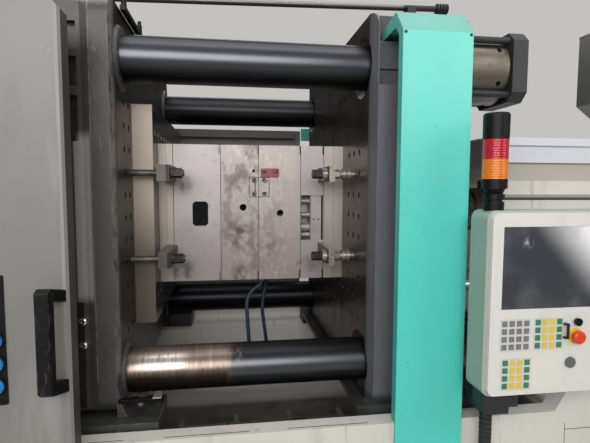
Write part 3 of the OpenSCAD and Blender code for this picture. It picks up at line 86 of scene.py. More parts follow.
class Finish:
    """A surface built up in layers: where its mask is 1, a layer changes colour, roughness or metal."""

    def __init__(self, name, colour, roughness, metal=0.0, **sockets):
        self.material = bpy.data.materials.new(name)
        self.material.use_nodes = True
        self.tree = self.material.node_tree
        self.shader = self.tree.nodes["Principled BSDF"]
        self.shader.inputs["Base Color"].default_value = linear(colour)
        self.shader.inputs["Roughness"].default_value = roughness
        self.shader.inputs["Metallic"].default_value = metal
        for key, value in sockets.items():
            self.shader.inputs[key.replace("_", " ")].default_value = value
        self.place = self.add("ShaderNodeTexCoord").outputs["Object"]

    def add(self, kind, **settings):
        node = self.tree.nodes.new(kind)
        for key, value in settings.items():
            setattr(node, key, value)
        return node

    def feed(self, socket, value):
        """Links a socket, or sets a plain value."""
        if isinstance(value, bpy.types.NodeSocket):
            self.tree.links.new(value, socket)
        else:
            socket.default_value = value

    def maths(self, operation, first, second=0.0, clamp=False):
        node = self.add("ShaderNodeMath", operation=operation, use_clamp=clamp)
        self.feed(node.inputs[0], first)
        self.feed(node.inputs[1], second)
        return node.outputs[0]

    def ramp(self, value, low, high, smooth=True):
        """0 below low, 1 above high."""
        kind = "SMOOTHSTEP" if smooth else "LINEAR"
        node = self.add("ShaderNodeMapRange", interpolation_type=kind)
        self.feed(node.inputs["Value"], value)
        node.inputs["From Min"].default_value = low
        node.inputs["From Max"].default_value = high
        return node.outputs["Result"]

    def stretched(self, stretch, shift=(0, 0, 0)):
        node = self.add("ShaderNodeMapping")
        node.inputs["Scale"].default_value = stretch
        node.inputs["Location"].default_value = shift
        self.feed(node.inputs["Vector"], self.place)
        return node.outputs["Vector"]

    def noise(self, scale, low=0.35, high=0.65, stretch=(1, 1, 1), detail=4.0, shift=(0, 0, 0)):
        node = self.add("ShaderNodeTexNoise")
        node.inputs["Scale"].default_value = scale
        node.inputs["Detail"].default_value = detail
        self.feed(node.inputs["Vector"], self.stretched(stretch, shift))
        return self.ramp(node.outputs["Fac"], low, high)

    def axis(self, letter):
        node = self.add("ShaderNodeSeparateXYZ")
        self.feed(node.inputs[0], self.place)
        return node.outputs[letter]

    def span(self, letter, low, high, soft=0.01):
        """1 between two places on an axis, with soft ends."""
        place = self.axis(letter)
        up = self.ramp(place, low - soft, low + soft)
        down = self.ramp(place, high + soft, high - soft)
        return self.maths("MULTIPLY", up, down)

    def facing(self, letter, low=0.3, high=0.9):
        """1 where the surface looks along an axis."""
        normal = self.add("ShaderNodeNewGeometry").outputs["Normal"]
        node = self.add("ShaderNodeSeparateXYZ")
        self.feed(node.inputs[0], normal)
        return self.ramp(node.outputs[letter], low, high)

    def disc(self, letters, centre, radius, soft=0.002):
        """1 within a radius of a point, in the plane of two axes."""
        squares = []
        for letter, at in zip(letters, centre):
            away = self.maths("SUBTRACT", self.axis(letter), at)
            squares.append(self.maths("MULTIPLY", away, away))
        gap = self.maths("SQRT", self.maths("ADD", *squares))
        return self.ramp(gap, radius + soft, radius - soft)

    def rest(self, mask):
        """1 where the mask is 0."""
        return self.maths("SUBTRACT", 1.0, mask)

    def edges(self, width=0.003):
        """1 along sharp edges, found by rounding them off in the shader."""
        rounded_off = self.add("ShaderNodeBevel", samples=4)
        rounded_off.inputs["Radius"].default_value = width
        turned_by = self.add("ShaderNodeVectorMath", operation="DOT_PRODUCT")
        self.feed(turned_by.inputs[0], rounded_off.outputs["Normal"])
        self.feed(turned_by.inputs[1], self.add("ShaderNodeNewGeometry").outputs["Normal"])
        return self.ramp(turned_by.outputs["Value"], 0.985, 0.86)

    def both(self, *masks):
        result = masks[0]
        for mask in masks[1:]:
            result = self.maths("MULTIPLY", result, mask)
        return result

    def over(self, socket, mask, value):
        """Puts value over what the socket has now, where the mask is 1."""
        is_colour = socket.type == "RGBA"
        node = self.add("ShaderNodeMix", data_type="RGBA" if is_colour else "FLOAT")
        # The node has sockets for every type of data: these are A, B and the result of this type
        first, second, result = (6, 7, 2) if is_colour else (2, 3, 0)
        self.feed(node.inputs[0], mask)
        if socket.links:
            self.feed(node.inputs[first], socket.links[0].from_socket)
        else:
            held = socket.default_value
            node.inputs[first].default_value = held[:] if is_colour else held
        node.inputs[second].default_value = value
        self.feed(socket, node.outputs[result])

    def layer(self, mask, colour=None, roughness=None, metal=None, amount=1.0):
        mask = self.maths("MULTIPLY", mask, amount) if amount != 1.0 else mask
        if colour is not None:
            self.over(self.shader.inputs["Base Color"], mask, linear(colour))
        if roughness is not None:
            self.over(self.shader.inputs["Roughness"], mask, roughness)
        if metal is not None:
            self.over(self.shader.inputs["Metallic"], mask, metal)
        return self

    def relief(self, height, depth, strength=1.0):
        """Bump of a depth in metres, on top of any before it."""
        node = self.add("ShaderNodeBump")
        node.inputs["Distance"].default_value = depth
        node.inputs["Strength"].default_value = strength
        self.feed(node.inputs["Height"], height)
        normal = self.shader.inputs["Normal"]
        if normal.links:
            self.feed(node.inputs["Normal"], normal.links[0].from_socket)
        self.feed(normal, node.outputs["Normal"])
        return self


BACK = (-0.3, -0.9)  # limits for facing() that pick what looks against the axis

# Places in metres that the finishes use, along the machine (X), across it (Y) and up (Z)
# Ridges of the moving platen's front, where highlights are painted
PLATEN_RIDGE_HIGHLIGHTS = (-0.873, -0.815)
MOULD_JOINTS = (-0.685, -0.501, -0.349, -0.177, -0.081)
BED_SEAMS = (-3.90, -2.70, -1.50, 0.64, 1.80, 2.96)
BED_RIMS = (0.1, 0.70)
LEDGE_SLOTS = ((-0.879, -0.778), (-0.662, -0.410), (-0.293, -0.038))
GUARD_BANDS = ((1.592, 1.70, "#c6c6cd"), (1.530, 1.592, "#a99f93"), (1.470, 1.484, "#8f8880"))
CLAMP_GAPS = ((-0.105, -0.1025), (-0.079, -0.0765), (-0.058, -0.0555), (-0.033, -0.030))
CHUTE_DIVIDERS = ((-0.479, -0.470), (-0.252, -0.208))
# Grease on the mould, and painted shadows of the left clamps' nuts (the two blots at X -0.65): X, Z, radius
# and depth of each blot
GREASE_AND_SHADOW_BLOTS = (
    (-0.430, 1.315, 0.055, 0.85), (-0.440, 1.540, 0.040, 0.6), (-0.425, 1.165, 0.030, 0.6),
    (-0.300, 1.270, 0.045, 0.45), (-0.648, 1.515, 0.030, 0.85), (-0.652, 1.170, 0.034, 0.8),
    (-0.130, 1.190, 0.030, 0.4),
)
# Rust spots and side holes of the mould: X, Z and radius
RUST_SPOTS = ((-0.177, 1.197, 0.009), (-0.188, 1.19, 0.007), (-0.135, 1.16, 0.005))
SIDE_HOLES = ((-0.412, 1.423, 0.0138), (-0.261, 1.400, 0.0133), (-0.369, 1.571, 0.0052))


def casting_paint(name, colour="#3d3b39", worn="#8a8781"):
    """Thick workshop paint on rough castings, with machined, oily mould faces; painted light on high top
    faces and ridges, painted shade low in the bed.
    """
    coat = Finish(name, colour, 0.44)
    coat.layer(coat.noise(3.0, 0.35, 0.7), "#494643", 0.5, amount=0.5)
    coat.layer(coat.noise(22.0, 0.5, 0.75, detail=8), "#2c2a28", 0.5, amount=0.45)
    front = coat.ramp(coat.axis("Y"), -0.57, -0.60)
    coat.layer(coat.both(front, coat.ramp(coat.axis("X"), -0.02, 0.01)), "#5b5d62", 0.4, amount=0.85)
    # Painted light: the castings' top faces high up lighter, as lit from above
    coat.layer(
        coat.both(coat.facing("Z", 0.3, 0.9), coat.ramp(coat.axis("Z"), 1.9, 1.95)),
        "#85837b", 0.6, amount=0.7,
    )
    # Painted shade: the castings darker low in the bed, below Z 0.8
    coat.layer(coat.ramp(coat.axis("Z"), 0.81, 0.785), "#2b2c2b", 0.45, amount=0.7)
    # Lighter scratched pad on the moving platen's operator side, and painted highlights along its ridges
    pad = coat.both(front, coat.span("X", -0.925, -0.877, 0.003), coat.span("Z", 1.16, 1.66, 0.02))
    coat.layer(pad, "#a09f99", 0.5, amount=0.85)
    hatch = coat.noise(120.0, 0.58, 0.66, stretch=(0.5, 1, 1.6), detail=6)
    coat.layer(coat.both(pad, hatch), "#a5a39c", 0.4, amount=0.6)
    # Painted highlights along the ridges of the moving platen's front
    for ridge in PLATEN_RIDGE_HIGHLIGHTS:
        line = coat.both(front, coat.span("X", ridge - 0.002, ridge + 0.001, 0.0012))
        coat.layer(
            coat.both(line, coat.noise(40.0, 0.3, 0.55), coat.ramp(coat.axis("Z"), 0.88, 0.92)),
            "#8f8c86", 0.35, amount=0.55,
        )
    coat.layer(coat.noise(60.0, 0.66, 0.74, stretch=(1, 1, 0.25), detail=6), worn, 0.5, amount=0.35)
    coat.layer(coat.both(coat.edges(0.006), coat.noise(18.0, 0.4, 0.6)), worn, 0.4, amount=0.45)
    # Machined faces that the mould bolts to
    for face, tint in ((0.0, "#4a3f3b"), (-0.813, "#2a2421")):
        flat = coat.both(
            coat.span("X", face - 0.003, face + 0.003, 0.001),
            coat.span("Y", -0.58, 0.58, 0.003),
        )
        coat.layer(flat, tint, 0.3, 0.75)
        coat.layer(coat.both(flat, coat.noise(7.0, 0.45, 0.65, detail=8)), "#2c2523", 0.36, 0.6, amount=0.7)
    coat.relief(coat.noise(140.0, 0.2, 0.8, detail=3), 0.0006, 0.5)
    coat.relief(coat.noise(9.0, 0.2, 0.8, detail=3), 0.003, 0.35)
    return coat


def satin_paint(name, colour, dirt="#6f6a60", amount=0.35, roughness=0.38, streak=(1, 1, 0.15)):
    """Sprayed sheet metal: even, with faint grime and wiped streaks."""
    coat = Finish(name, colour, roughness)
    coat.layer(coat.noise(2.2, 0.3, 0.75), dirt, roughness + 0.1, amount=amount * 0.35)
    coat.layer(
        coat.noise(14.0, 0.56, 0.78, stretch=streak, detail=8),
        dirt, roughness + 0.15, amount=amount * 0.6,
    )
    coat.layer(coat.noise(300.0, 0.7, 0.74, detail=2), dirt, 0.7, amount=amount)
    coat.relief(coat.noise(420.0, 0.2, 0.8, detail=2), 0.00025, 0.35)
    return coat


def cream_paint(name):
    """Bed and guards: clean outside; inside the bed oily, with painted shade, and its rear inside lighter
    with painted light; tinted panels on the guard.
    """
    coat = satin_paint(name, "#cbc8bf", "#7d7668", 0.45)
    # Painted shade inside the bed, with oil in patches over it
    inside = coat.both(coat.ramp(coat.axis("Y"), -0.703, -0.697), coat.ramp(coat.axis("Z"), 0.80, 0.764))
    inside = coat.both(inside, coat.ramp(coat.axis("Y"), 0.42, 0.36))
    coat.layer(inside, "#57524a", 0.5, amount=0.82)
    coat.layer(coat.both(inside, coat.noise(6.0, 0.45, 0.65, detail=8)), "#2b2722", 0.35, amount=0.6)
    # Painted light: the rear inside of the bed lighter, where it catches the light
    lit_rear = coat.both(coat.ramp(coat.axis("Y"), 0.42, 0.48), coat.ramp(coat.axis("Z"), 0.80, 0.764))
    coat.layer(lit_rear, "#efece6", 0.45, amount=0.6)
    # Panel seams on the long sides
    outside = coat.ramp(coat.maths("ABSOLUTE", coat.axis("Y")), 0.750, 0.756)
    sides = coat.both(
        outside,
        coat.ramp(coat.axis("Z"), 0.725, 0.720),
        coat.ramp(coat.axis("Z"), 0.075, 0.080),
    )
    for x in BED_SEAMS:
        coat.layer(
            coat.both(sides, coat.span("X", x - 0.0014, x + 0.0014, 0.0004)),
            "#2a2824", 0.7, amount=0.85,
        )
    rim = coat.both(outside, coat.rest(coat.span("X", -1.50, 0.64, 0.0005)))
    for z in BED_RIMS:
        coat.layer(
            coat.both(rim, coat.span("Z", z - 0.0014, z + 0.0014, 0.0004)),
            "#2a2824", 0.7, amount=0.85,
        )
    # Drain slots along the ledge
    ledge = coat.both(coat.span("Y", -0.7475, -0.7440, 0.0006), coat.facing("Z", 0.5, 0.9))
    for x0, x1 in LEDGE_SLOTS:
        coat.layer(coat.both(ledge, coat.span("X", x0, x1, 0.001)), "#211f1c", 0.8)
    # Drips of grease below the ledge
    drips = coat.noise(26.0, 0.62, 0.7, stretch=(1.6, 1, 0.12), detail=5)
    coat.layer(
        coat.both(drips, coat.ramp(coat.axis("Z"), 0.5, 0.76), coat.rest(inside)),
        "#8e8268", 0.45, amount=0.35,
    )
    for z0, z1, tint in GUARD_BANDS:
        coat.layer(coat.span("Z", z0, z1, 0.0015), tint, 0.35, amount=0.9)
    coat.layer(coat.span("Z", 1.4635, 1.4695, 0.001), "#1f1e1d", 0.6)
    return coat


def teal_paint(name):
    coat = satin_paint(name, "#4cc4b4", "#2f8c80", 0.3, 0.34)
    # Painted light: the teal cover lighter towards the top
    coat.layer(coat.ramp(coat.axis("Z"), 1.30, 1.95), "#a3ebdd", 0.36, amount=0.36)
    # Painted shade on the teal cover's top faces
    coat.layer(coat.facing("Z", 0.35, 0.8), "#447f74", 0.5, amount=0.92)
    coat.layer(coat.noise(5.0, 0.5, 0.8, stretch=(1, 1, 0.5), detail=7), "#74c6ba", 0.42, amount=0.35)
    coat.layer(coat.noise(70.0, 0.71, 0.75, detail=4), "#205049", 0.5, amount=0.5)
    # Painted shade on the faces that look against X, such as the cover's left return
    coat.layer(coat.facing("X", *BACK), "#37897e", 0.4, amount=0.5)
    return coat


def gate_paint(name):
    """Light grey sheet: scuffed, lighter along the fold, with painted shade on the closing edge."""
    coat = satin_paint(name, "#787672", "#504c46", 0.5, 0.42)
    scuffs = coat.noise(6.0, 0.55, 0.75, stretch=(1.5, 1, 0.3), detail=9)
    coat.layer(scuffs, "#a3a19d", 0.36, amount=0.35)
    coat.layer(coat.noise(90.0, 0.68, 0.72, stretch=(1, 1, 0.4), detail=6), "#a5a39e", 0.45, amount=0.3)
    # Painted shade on the side of the closing edge, which looks along X
    front = coat.ramp(coat.axis("Y"), -0.72, -0.75)
    coat.layer(coat.both(front, coat.facing("X", 0.8, 0.95)), "#35332f", 0.5, amount=0.92)
    fold = coat.both(front, coat.span("X", -0.8945, -0.8865, 0.001), coat.rest(coat.facing("X", 0.8, 0.95)))
    coat.layer(
        coat.both(fold, coat.noise(14.0, 0.3, 0.55, stretch=(1, 1, 0.2), detail=8)),
        "#a9a7a2", 0.4, amount=0.25,
    )
    return coat


def bare_steel(name, colour, roughness=0.34, grain=(1, 1, 40), stain="#4c4238", stains=0.5, metal=1.0):
    """Machined steel with its cutting marks, oil stains and scratches."""
    coat = Finish(name, colour, roughness, metal)
    coat.layer(
        coat.noise(90.0, 0.35, 0.65, stretch=grain, detail=5),
        "#d8d4ce", roughness - 0.08, amount=0.2,
    )
    coat.layer(coat.noise(5.0, 0.48, 0.72, detail=8), stain, roughness + 0.2, metal * 0.55, amount=stains)
    coat.layer(
        coat.noise(28.0, 0.6, 0.72, detail=10),
        stain, roughness + 0.15, metal * 0.6, amount=stains * 0.8,
    )
    coat.relief(coat.noise(600.0, 0.3, 0.7, stretch=grain, detail=2), 0.00012, 0.4)
    return coat


def mould_steel(name):
    """Ground mould plates: plates of several tints, greasy smears, rust spots and dark joints; painted
    shade towards the bottom and painted shadows of the left clamps' nuts.
    """
    coat = bare_steel(name, "#a19898", 0.43, (1, 1, 35), "#6d5c50", 0.22, 0.45)
    near = coat.ramp(coat.axis("Y"), -0.20, -0.23)
    core = coat.both(near, coat.span("X", -0.501, -0.349, 0.001))
    cavity = coat.both(near, coat.span("X", -0.349, -0.177, 0.001))
    coat.layer(core, "#9d918b", 0.4, amount=0.75)
    coat.layer(cavity, "#a59993", 0.4, amount=0.7)
    coat.layer(coat.both(near, coat.span("X", -0.741, -0.685, 0.001)), "#a99e8d", 0.42, amount=0.6)
    coat.layer(coat.both(near, coat.span("X", -0.081, 0.0, 0.001)), "#aaa095", 0.4, amount=0.6)
    # Painted shade: the mould darker towards its bottom
    coat.layer(coat.both(near, coat.ramp(coat.axis("Z"), 1.42, 1.12)), "#6c5f5a", 0.45, amount=0.28)
    # Smears of grease, wiped in curls; two of the blots below are painted shadows of the left clamps' nuts
    curls = coat.noise(19.0, 0.5, 0.6, stretch=(1, 1, 0.7), detail=9)
    fine = coat.noise(60.0, 0.5, 0.62, stretch=(1, 1, 0.6), detail=9, shift=(2, 1, 0))
    coat.layer(coat.both(core, curls), "#62574f", 0.45, 0.3, amount=0.5)
    coat.layer(
        coat.both(cavity, curls, coat.ramp(coat.axis("X"), -0.20, -0.33)),
        "#766a63", 0.45, 0.3, amount=0.4,
    )
    coat.layer(coat.both(near, fine, coat.span("X", -0.47, -0.20, 0.04)), "#b8aea8", 0.3, amount=0.4)
    # Blots of grease, and the painted shadows of the two left clamp nuts
    for x, z, size, depth in GREASE_AND_SHADOW_BLOTS:
        blot = coat.both(
            near,
            coat.disc("XZ", (x, z), size, size * 0.75),
            coat.noise(26.0, 0.36, 0.6, detail=9),
        )
        coat.layer(blot, "#3f3631", 0.45, 0.2, amount=depth)
    patch = coat.both(near, coat.span("X", -0.246, -0.196, 0.001), coat.span("Z", 1.534, 1.655, 0.001))
    coat.layer(patch, "#b5aa9c", 0.45, amount=0.35)
    for x, z, size in RUST_SPOTS:
        rust = coat.both(near, coat.disc("XZ", (x, z), size, 0.004), coat.noise(150.0, 0.35, 0.6))
        coat.layer(rust, "#a04a16", 0.8, 0.0, amount=0.85)
    # Joints between the plates and round the interlock
    for x in MOULD_JOINTS:
        coat.layer(
            coat.both(near, coat.span("X", x - 0.0011, x + 0.0011, 0.0008)),
            "#181310", 0.7, 0.0, amount=0.92,
        )
    interlock = coat.both(
        coat.span("X", -0.3880, -0.3050, 0.0005),
        coat.span("Z", 1.4640, 1.5460, 0.0005),
    )
    within_it = coat.both(
        coat.span("X", -0.3850, -0.3080, 0.0005),
        coat.span("Z", 1.4670, 1.5430, 0.0005),
    )
    coat.layer(coat.both(near, interlock, coat.rest(within_it)), "#1d1815", 0.6, 0.0, amount=0.8)
    slit = coat.both(coat.span("X", -0.3648, -0.3612, 0.0004), coat.span("Z", 1.480, 1.532, 0.0005))
    coat.layer(coat.both(near, slit), "#14100e", 0.7, 0.0, amount=0.9)
    for x, z, size in SIDE_HOLES:
        coat.layer(coat.disc("XZ", (x, z), size, 0.0004), "#070606", 0.8, 0.0)
    # Adapter plate: beige edge, dark oiled face with its holes
    adapter = coat.span("X", -0.815, -0.739, 0.0005)
    coat.layer(coat.both(adapter, coat.facing("Y", *BACK)), "#b5a595", 0.45, 0.25, amount=0.85)
    coat.layer(
        coat.both(adapter, coat.facing("Y", *BACK), coat.ramp(coat.axis("Z"), 1.52, 1.18)),
        "#4d443a", 0.5, 0.3, amount=0.85,
    )
    coat.layer(coat.both(adapter, coat.facing("X", 0.5, 0.9)), "#4c4d50", 0.22, 0.9, amount=0.85)
    return coat


def clamp_steel(name):
    """Dark clamps on the moving side: greasy studs and nuts, a lighter forged block."""
    coat = bare_steel(name, "#4d4741", 0.42, (20, 1, 1), "#231e19", 0.7, 0.8)
    coat.layer(coat.span("X", -0.743, -0.6850, 0.001), "#57534e", 0.4, amount=0.8)
    coat.layer(coat.span("X", -0.6845, -0.62, 0.001), "#242120", 0.4, amount=0.85)
    coat.layer(coat.edges(0.002), "#a9a49c", 0.3, amount=0.4)
    return coat


def zinc_steel(name):
    """Bright zinc clamps with dark bolt heads and grease in the corners."""
    coat = bare_steel(name, "#9c978a", 0.32, (1, 20, 20), "#5a5142", 0.5, 0.85)
    coat.layer(coat.span("X", -0.170, -0.1215, 0.0005), "#211f1e", 0.4, 0.7, amount=0.95)
    for x0, x1 in CLAMP_GAPS:
        coat.layer(coat.span("X", x0, x1, 0.0008), "#1e1c18", 0.6, 0.2, amount=0.85)
    coat.layer(coat.noise(70.0, 0.5, 0.66, detail=8), "#3e3a31", 0.5, 0.4, amount=0.5)
    return coat


def stainless(name):
    """Hopper sheet, and the parts chute in the bed, darkened by oil and dirt and by painted shade, with a
    painted sheen on its panels.
    """
    coat = bare_steel(name, "#b9b9b2", 0.33, (1, 30, 1), "#6e675a", 0.35)
    # Painted shade: the chute low in the bed darker, with oil and dirt in patches over it
    chute = coat.ramp(coat.axis("Z"), 0.95, 0.85)
    coat.layer(chute, "#8f8b80", 0.4, 0.7, amount=0.75)
    coat.layer(coat.both(chute, coat.noise(9.0, 0.42, 0.62, detail=9)), "#3a352d", 0.5, 0.4, amount=0.75)
    # Painted sheen on the chute's panels
    painted_sheen = coat.both(chute, coat.span("X", -0.455, -0.270, 0.03), coat.noise(5.0, 0.35, 0.6, detail=7))
    coat.layer(painted_sheen, "#b3ab97", 0.24, 0.9, amount=0.7)
    for x0, x1 in CHUTE_DIVIDERS:
        coat.layer(coat.both(chute, coat.span("X", x0, x1, 0.001)), "#12100e", 0.6, 0.2, amount=0.9)
    return coat


def ground_steel(name):
    """Guide rods, and the safety rod over the clamp with painted shade on its underside and its blackened
    end.
    """
    coat = bare_steel(name, "#b4b4b1", 0.25, (1, 40, 40), "#6f6a62", 0.25)
    rod = coat.ramp(coat.axis("Z"), 2.0, 2.2)
    coat.layer(rod, "#77736b", 0.34, 0.9, amount=0.85)
    # Painted shade on the safety rod's underside
    coat.layer(coat.both(rod, coat.facing("Z", 0.15, -0.5)), "#1b1917", 0.5, 0.4, amount=0.9)
    coat.layer(coat.both(rod, coat.ramp(coat.axis("X"), 0.33, 0.34)), "#131314", 0.5, 0.0, amount=0.95)
    return coat


def plastic(name, colour, roughness=0.45, worn="#6d6a66", amount=0.3, shine=0.5):
    coat = Finish(name, colour, roughness, Specular_IOR_Level=shine)
    coat.layer(coat.noise(40.0, 0.55, 0.75, detail=8), worn, roughness + 0.12, amount=amount * 0.35)
    coat.layer(coat.edges(0.0015), worn, roughness - 0.1, amount=amount)
    coat.relief(coat.noise(900.0, 0.3, 0.7, detail=2), 0.00015, 0.4)
    return coat


def black_plastic(name):
    """Handle, button strip and tower: the handle's grip is scratched by years of use."""
    coat = plastic(name, "#09090a", 0.45, "#3f3c3a", 0.35, 0.22)
    grip = coat.both(coat.span("X", -0.94, -0.88, 0.004), coat.ramp(coat.axis("Y"), -0.88, -0.90))
    marks = coat.noise(120.0, 0.56, 0.7, stretch=(1.6, 1.6, 0.3), detail=9)
    coat.layer(coat.both(grip, marks), "#55524f", 0.4, amount=0.4)
    return coat


def tie_bar_steel():
    """Dark oiled bars with painted shade on their tops, undersides and on the rear bars; the lower front
    one is rubbed bare beside the moving platen, with a painted highlight and painted shade on its rubbed
    zone.
    """
    coat = Finish("tie_bar_steel", "#55565b", 0.29, 0.9)
    coat.layer(coat.noise(2.5, 0.4, 0.7, stretch=(0.6, 1, 1)), "#4d4e51", 0.37, amount=0.5)
    coat.layer(coat.noise(120.0, 0.55, 0.75, stretch=(0.06, 1, 1), detail=6), "#636366", 0.34, amount=0.2)
    # Painted shade on the bars' tops and undersides, leaving the highlight across their middle
    coat.layer(coat.facing("Z", 0.30, 0.75), "#1f2022", 0.34, amount=0.85)
    coat.layer(coat.facing("Z", -0.15, -0.75), "#0e0e0f", 0.36, amount=0.85)
    # Painted shade on the rear bars
    coat.layer(coat.ramp(coat.axis("Y"), 0.2, 0.3), "#1c1c1e", 0.36, amount=0.8)
    bar = coat.both(coat.span("Z", 0.78, 0.98, 0.02), coat.span("Y", -0.60, -0.40, 0.02))
    ragged = coat.noise(70.0, 0.40, 0.60, stretch=(1.5, 0.6, 0.6), detail=9)
    upper = coat.ramp(coat.axis("Z"), 0.885, 0.910)
    rubbed = coat.both(bar, coat.span("X", -0.815, -0.47, 0.015))
    fringe = coat.both(bar, coat.span("X", -0.83, -0.425, 0.004), ragged, upper)
    coat.layer(fringe, "#6a5f50", 0.38, 0.85, amount=0.6)
    coat.layer(coat.both(rubbed, coat.ramp(coat.axis("Z"), 0.82, 0.87)), "#85766a", 0.36, 0.9, amount=0.85)
    # Painted highlight along the upper front of the rubbed zone
    painted_highlight = coat.both(bar, coat.span("X", -0.765, -0.625, 0.04), coat.span("Z", 0.905, 0.950, 0.014))
    coat.layer(painted_highlight, "#e3d8d3", 0.27, 0.9, amount=0.85)
    marks = coat.noise(75.0, 0.56, 0.66, stretch=(2.2, 0.35, 0.35), detail=7)
    coat.layer(coat.both(rubbed, marks), "#49382a", 0.42, 0.8, amount=0.55)
    stepped = coat.noise(30.0, 0.5, 0.56, stretch=(2.5, 0.2, 0.2), detail=3, shift=(0.7, 0, 0))
    coat.layer(coat.both(rubbed, stepped), "#a8957c", 0.34, 0.9, amount=0.35)
    # Painted shade on the lower side of the rubbed zone
    coat.layer(coat.both(rubbed, coat.ramp(coat.axis("Z"), 0.905, 0.872)), "#1d1713", 0.4, 0.8, amount=0.88)
    return coat


def lens(name, colour):
    coat = Finish(name, colour, 0.22, Transmission_Weight=0.35, IOR=1.49)
    coat.layer(coat.noise(60.0, 0.5, 0.8, detail=6), "#4a2018", 0.4, amount=0.18)
    coat.relief(coat.maths("SINE", coat.maths("MULTIPLY", coat.axis("Z"), 900.0)), 0.0006, 0.4)
    return coat


def screen_glass():
    """Switched-off screen: pale upper right where the hall's windows show, wiped smears."""
    coat = Finish("screen_glass", "#3a3b40", 0.14)
    slope = coat.maths("ADD", coat.axis("X"), coat.maths("MULTIPLY", coat.axis("Z"), 0.9))
    coat.layer(coat.ramp(slope, 1.62, 1.84), "#f4f2f2", 0.16, amount=0.95)
    coat.layer(coat.noise(9.0, 0.45, 0.75, shift=(0.3, 0, 0.1)), "#6b6b70", 0.2, amount=0.4)
    smear = coat.both(coat.disc("XZ", (0.366, 1.352), 0.010, 0.014), coat.noise(60.0, 0.40, 0.62, detail=9))
    coat.layer(smear, "#c4c4c8", 0.4, amount=0.6)
    return coat


def panel_plastic(name):
    """Operator panel: pale front, greenish housing behind it, black latch and grey cap."""
    coat = satin_paint(name, "#cfccc5", "#8f8a7e", 0.22, 0.42)
    coat.layer(coat.ramp(coat.axis("Y"), -0.9045, -0.9025), "#929f96", 0.45)
    proud = coat.ramp(coat.axis("Y"), -0.9168, -0.9174)
    coat.layer(
        coat.both(proud, coat.span("X", 0.484, 0.4995, 0.001), coat.span("Z", 1.07, 1.121, 0.001)),
        "#161617", 0.4,
    )
    coat.layer(coat.both(proud, coat.disc("XZ", (0.513, 1.000), 0.017, 0.0005)), "#5c5d5e", 0.4)
    return coat


def clear_sheet():
    coat = Finish("window_clear", "#e6eeee", 0.06, Transmission_Weight=0.95, IOR=1.49)
    coat.layer(coat.noise(18.0, 0.55, 0.8, detail=8), "#c8cfcd", 0.25, amount=0.3)
    return coat


FINISHES = {
    "cream_paint": cream_paint("cream_paint"),
    "grey_casting": casting_paint("grey_casting"),
    "tie_bar_steel": tie_bar_steel(),
    "nut_steel": bare_steel("nut_steel", "#7b7065", 0.38, (1, 30, 30), "#4a3a28", 0.5),
    "black_steel": satin_paint("black_steel", "#1f2022", "#4a4845", 0.35, 0.5),
    "dark_steel": clamp_steel("dark_steel"),
    "ground_steel": ground_steel("ground_steel"),
    "machined_steel": mould_steel("machined_steel"),
    "stainless": stainless("stainless"),
    "zinc_steel": zinc_steel("zinc_steel"),
    "bronze": bare_steel("bronze", "#1b1917", 0.5, (40, 1, 1), "#0d0b0a", 0.6, 0.5),
    "grey_paint": satin_paint("grey_paint", "#8f9190"),
    "hard_chrome": bare_steel("hard_chrome", "#dfe0e2", 0.12, (1, 60, 60), "#8f8d88", 0.12),
    "red_paint": satin_paint("red_paint", "#84142a", "#b59a9a", 0.45),
    "blue_hose": plastic("blue_hose", "#1d3443", 0.55, "#4a6470"),
    "gate_paint": gate_paint("gate_paint"),
    "window_clear": clear_sheet(),
    "black_plastic": black_plastic("black_plastic"),
    "blue_plastic": plastic("blue_plastic", "#1670b4", 0.3, "#4c86b8", 0.2),
    "rail_aluminium": bare_steel("rail_aluminium", "#a2a4a2", 0.38, (1, 60, 60), "#66645f", 0.35),
    "teal_paint": teal_paint("teal_paint"),
    "panel_plastic": panel_plastic("panel_plastic"),
    "screen_glass": screen_glass(),
    "key_plastic": plastic("key_plastic", "#77777a", 0.5, "#b3b2af", 0.2),
    "red_plastic": plastic("red_plastic", "#cf3c18", 0.32, "#a83a1c", 0.2),
    "red_lens": lens("red_lens", "#cc2039"),
    "amber_lens": lens("amber_lens", "#f28a20"),
    "band_steel": bare_steel("band_steel", "#a3977a", 0.4, (1, 20, 20), "#5b4a30", 0.5),
}


def key_plastic(name, colour, mark):
    """Keys with worn, unreadable marks in their middle."""
    coat = plastic(name, colour, 0.5, "#b3b2af", 0.15)
    coat.layer(coat.noise(330.0, 0.52, 0.6, detail=3), mark, 0.5, amount=0.6)
    return coat


KEY_FINISHES = {
    "grey": key_plastic("key_grey", "#747476", "#2f2f31"),
    "green": key_plastic("key_green", "#2d7a55", "#1c4a35"),
    "yellow": key_plastic("key_yellow", "#d9bb3c", "#8b7a3a"),
    "sheet": satin_paint("key_sheet", "#c2c0ba", "#8f8a7e", 0.25, 0.42),
    "field": satin_paint("key_field", "#d2cec5", "#8f8a7e", 0.25, 0.42),
}
PLATE_FINISH = plastic("plate_black", "#070708", 0.6, "#5d5a54", 0.6, 0.12)
SCREW_FINISH = bare_steel("screw_black", "#2a2826", 0.35, (1, 1, 1), "#0f0e0d", 0.4, 0.8)
RING_FINISH = plastic("ring_yellow", "#e0ac18", 0.4, "#a88420", 0.25)


def dress(obj, finish):
    obj.data.materials.clear()
    obj.data.materials.append(finish.material)


for row in frame["record"]["subparts"]:
    dress(nodes[row["node"]], FINISHES[row["material_slot"]])


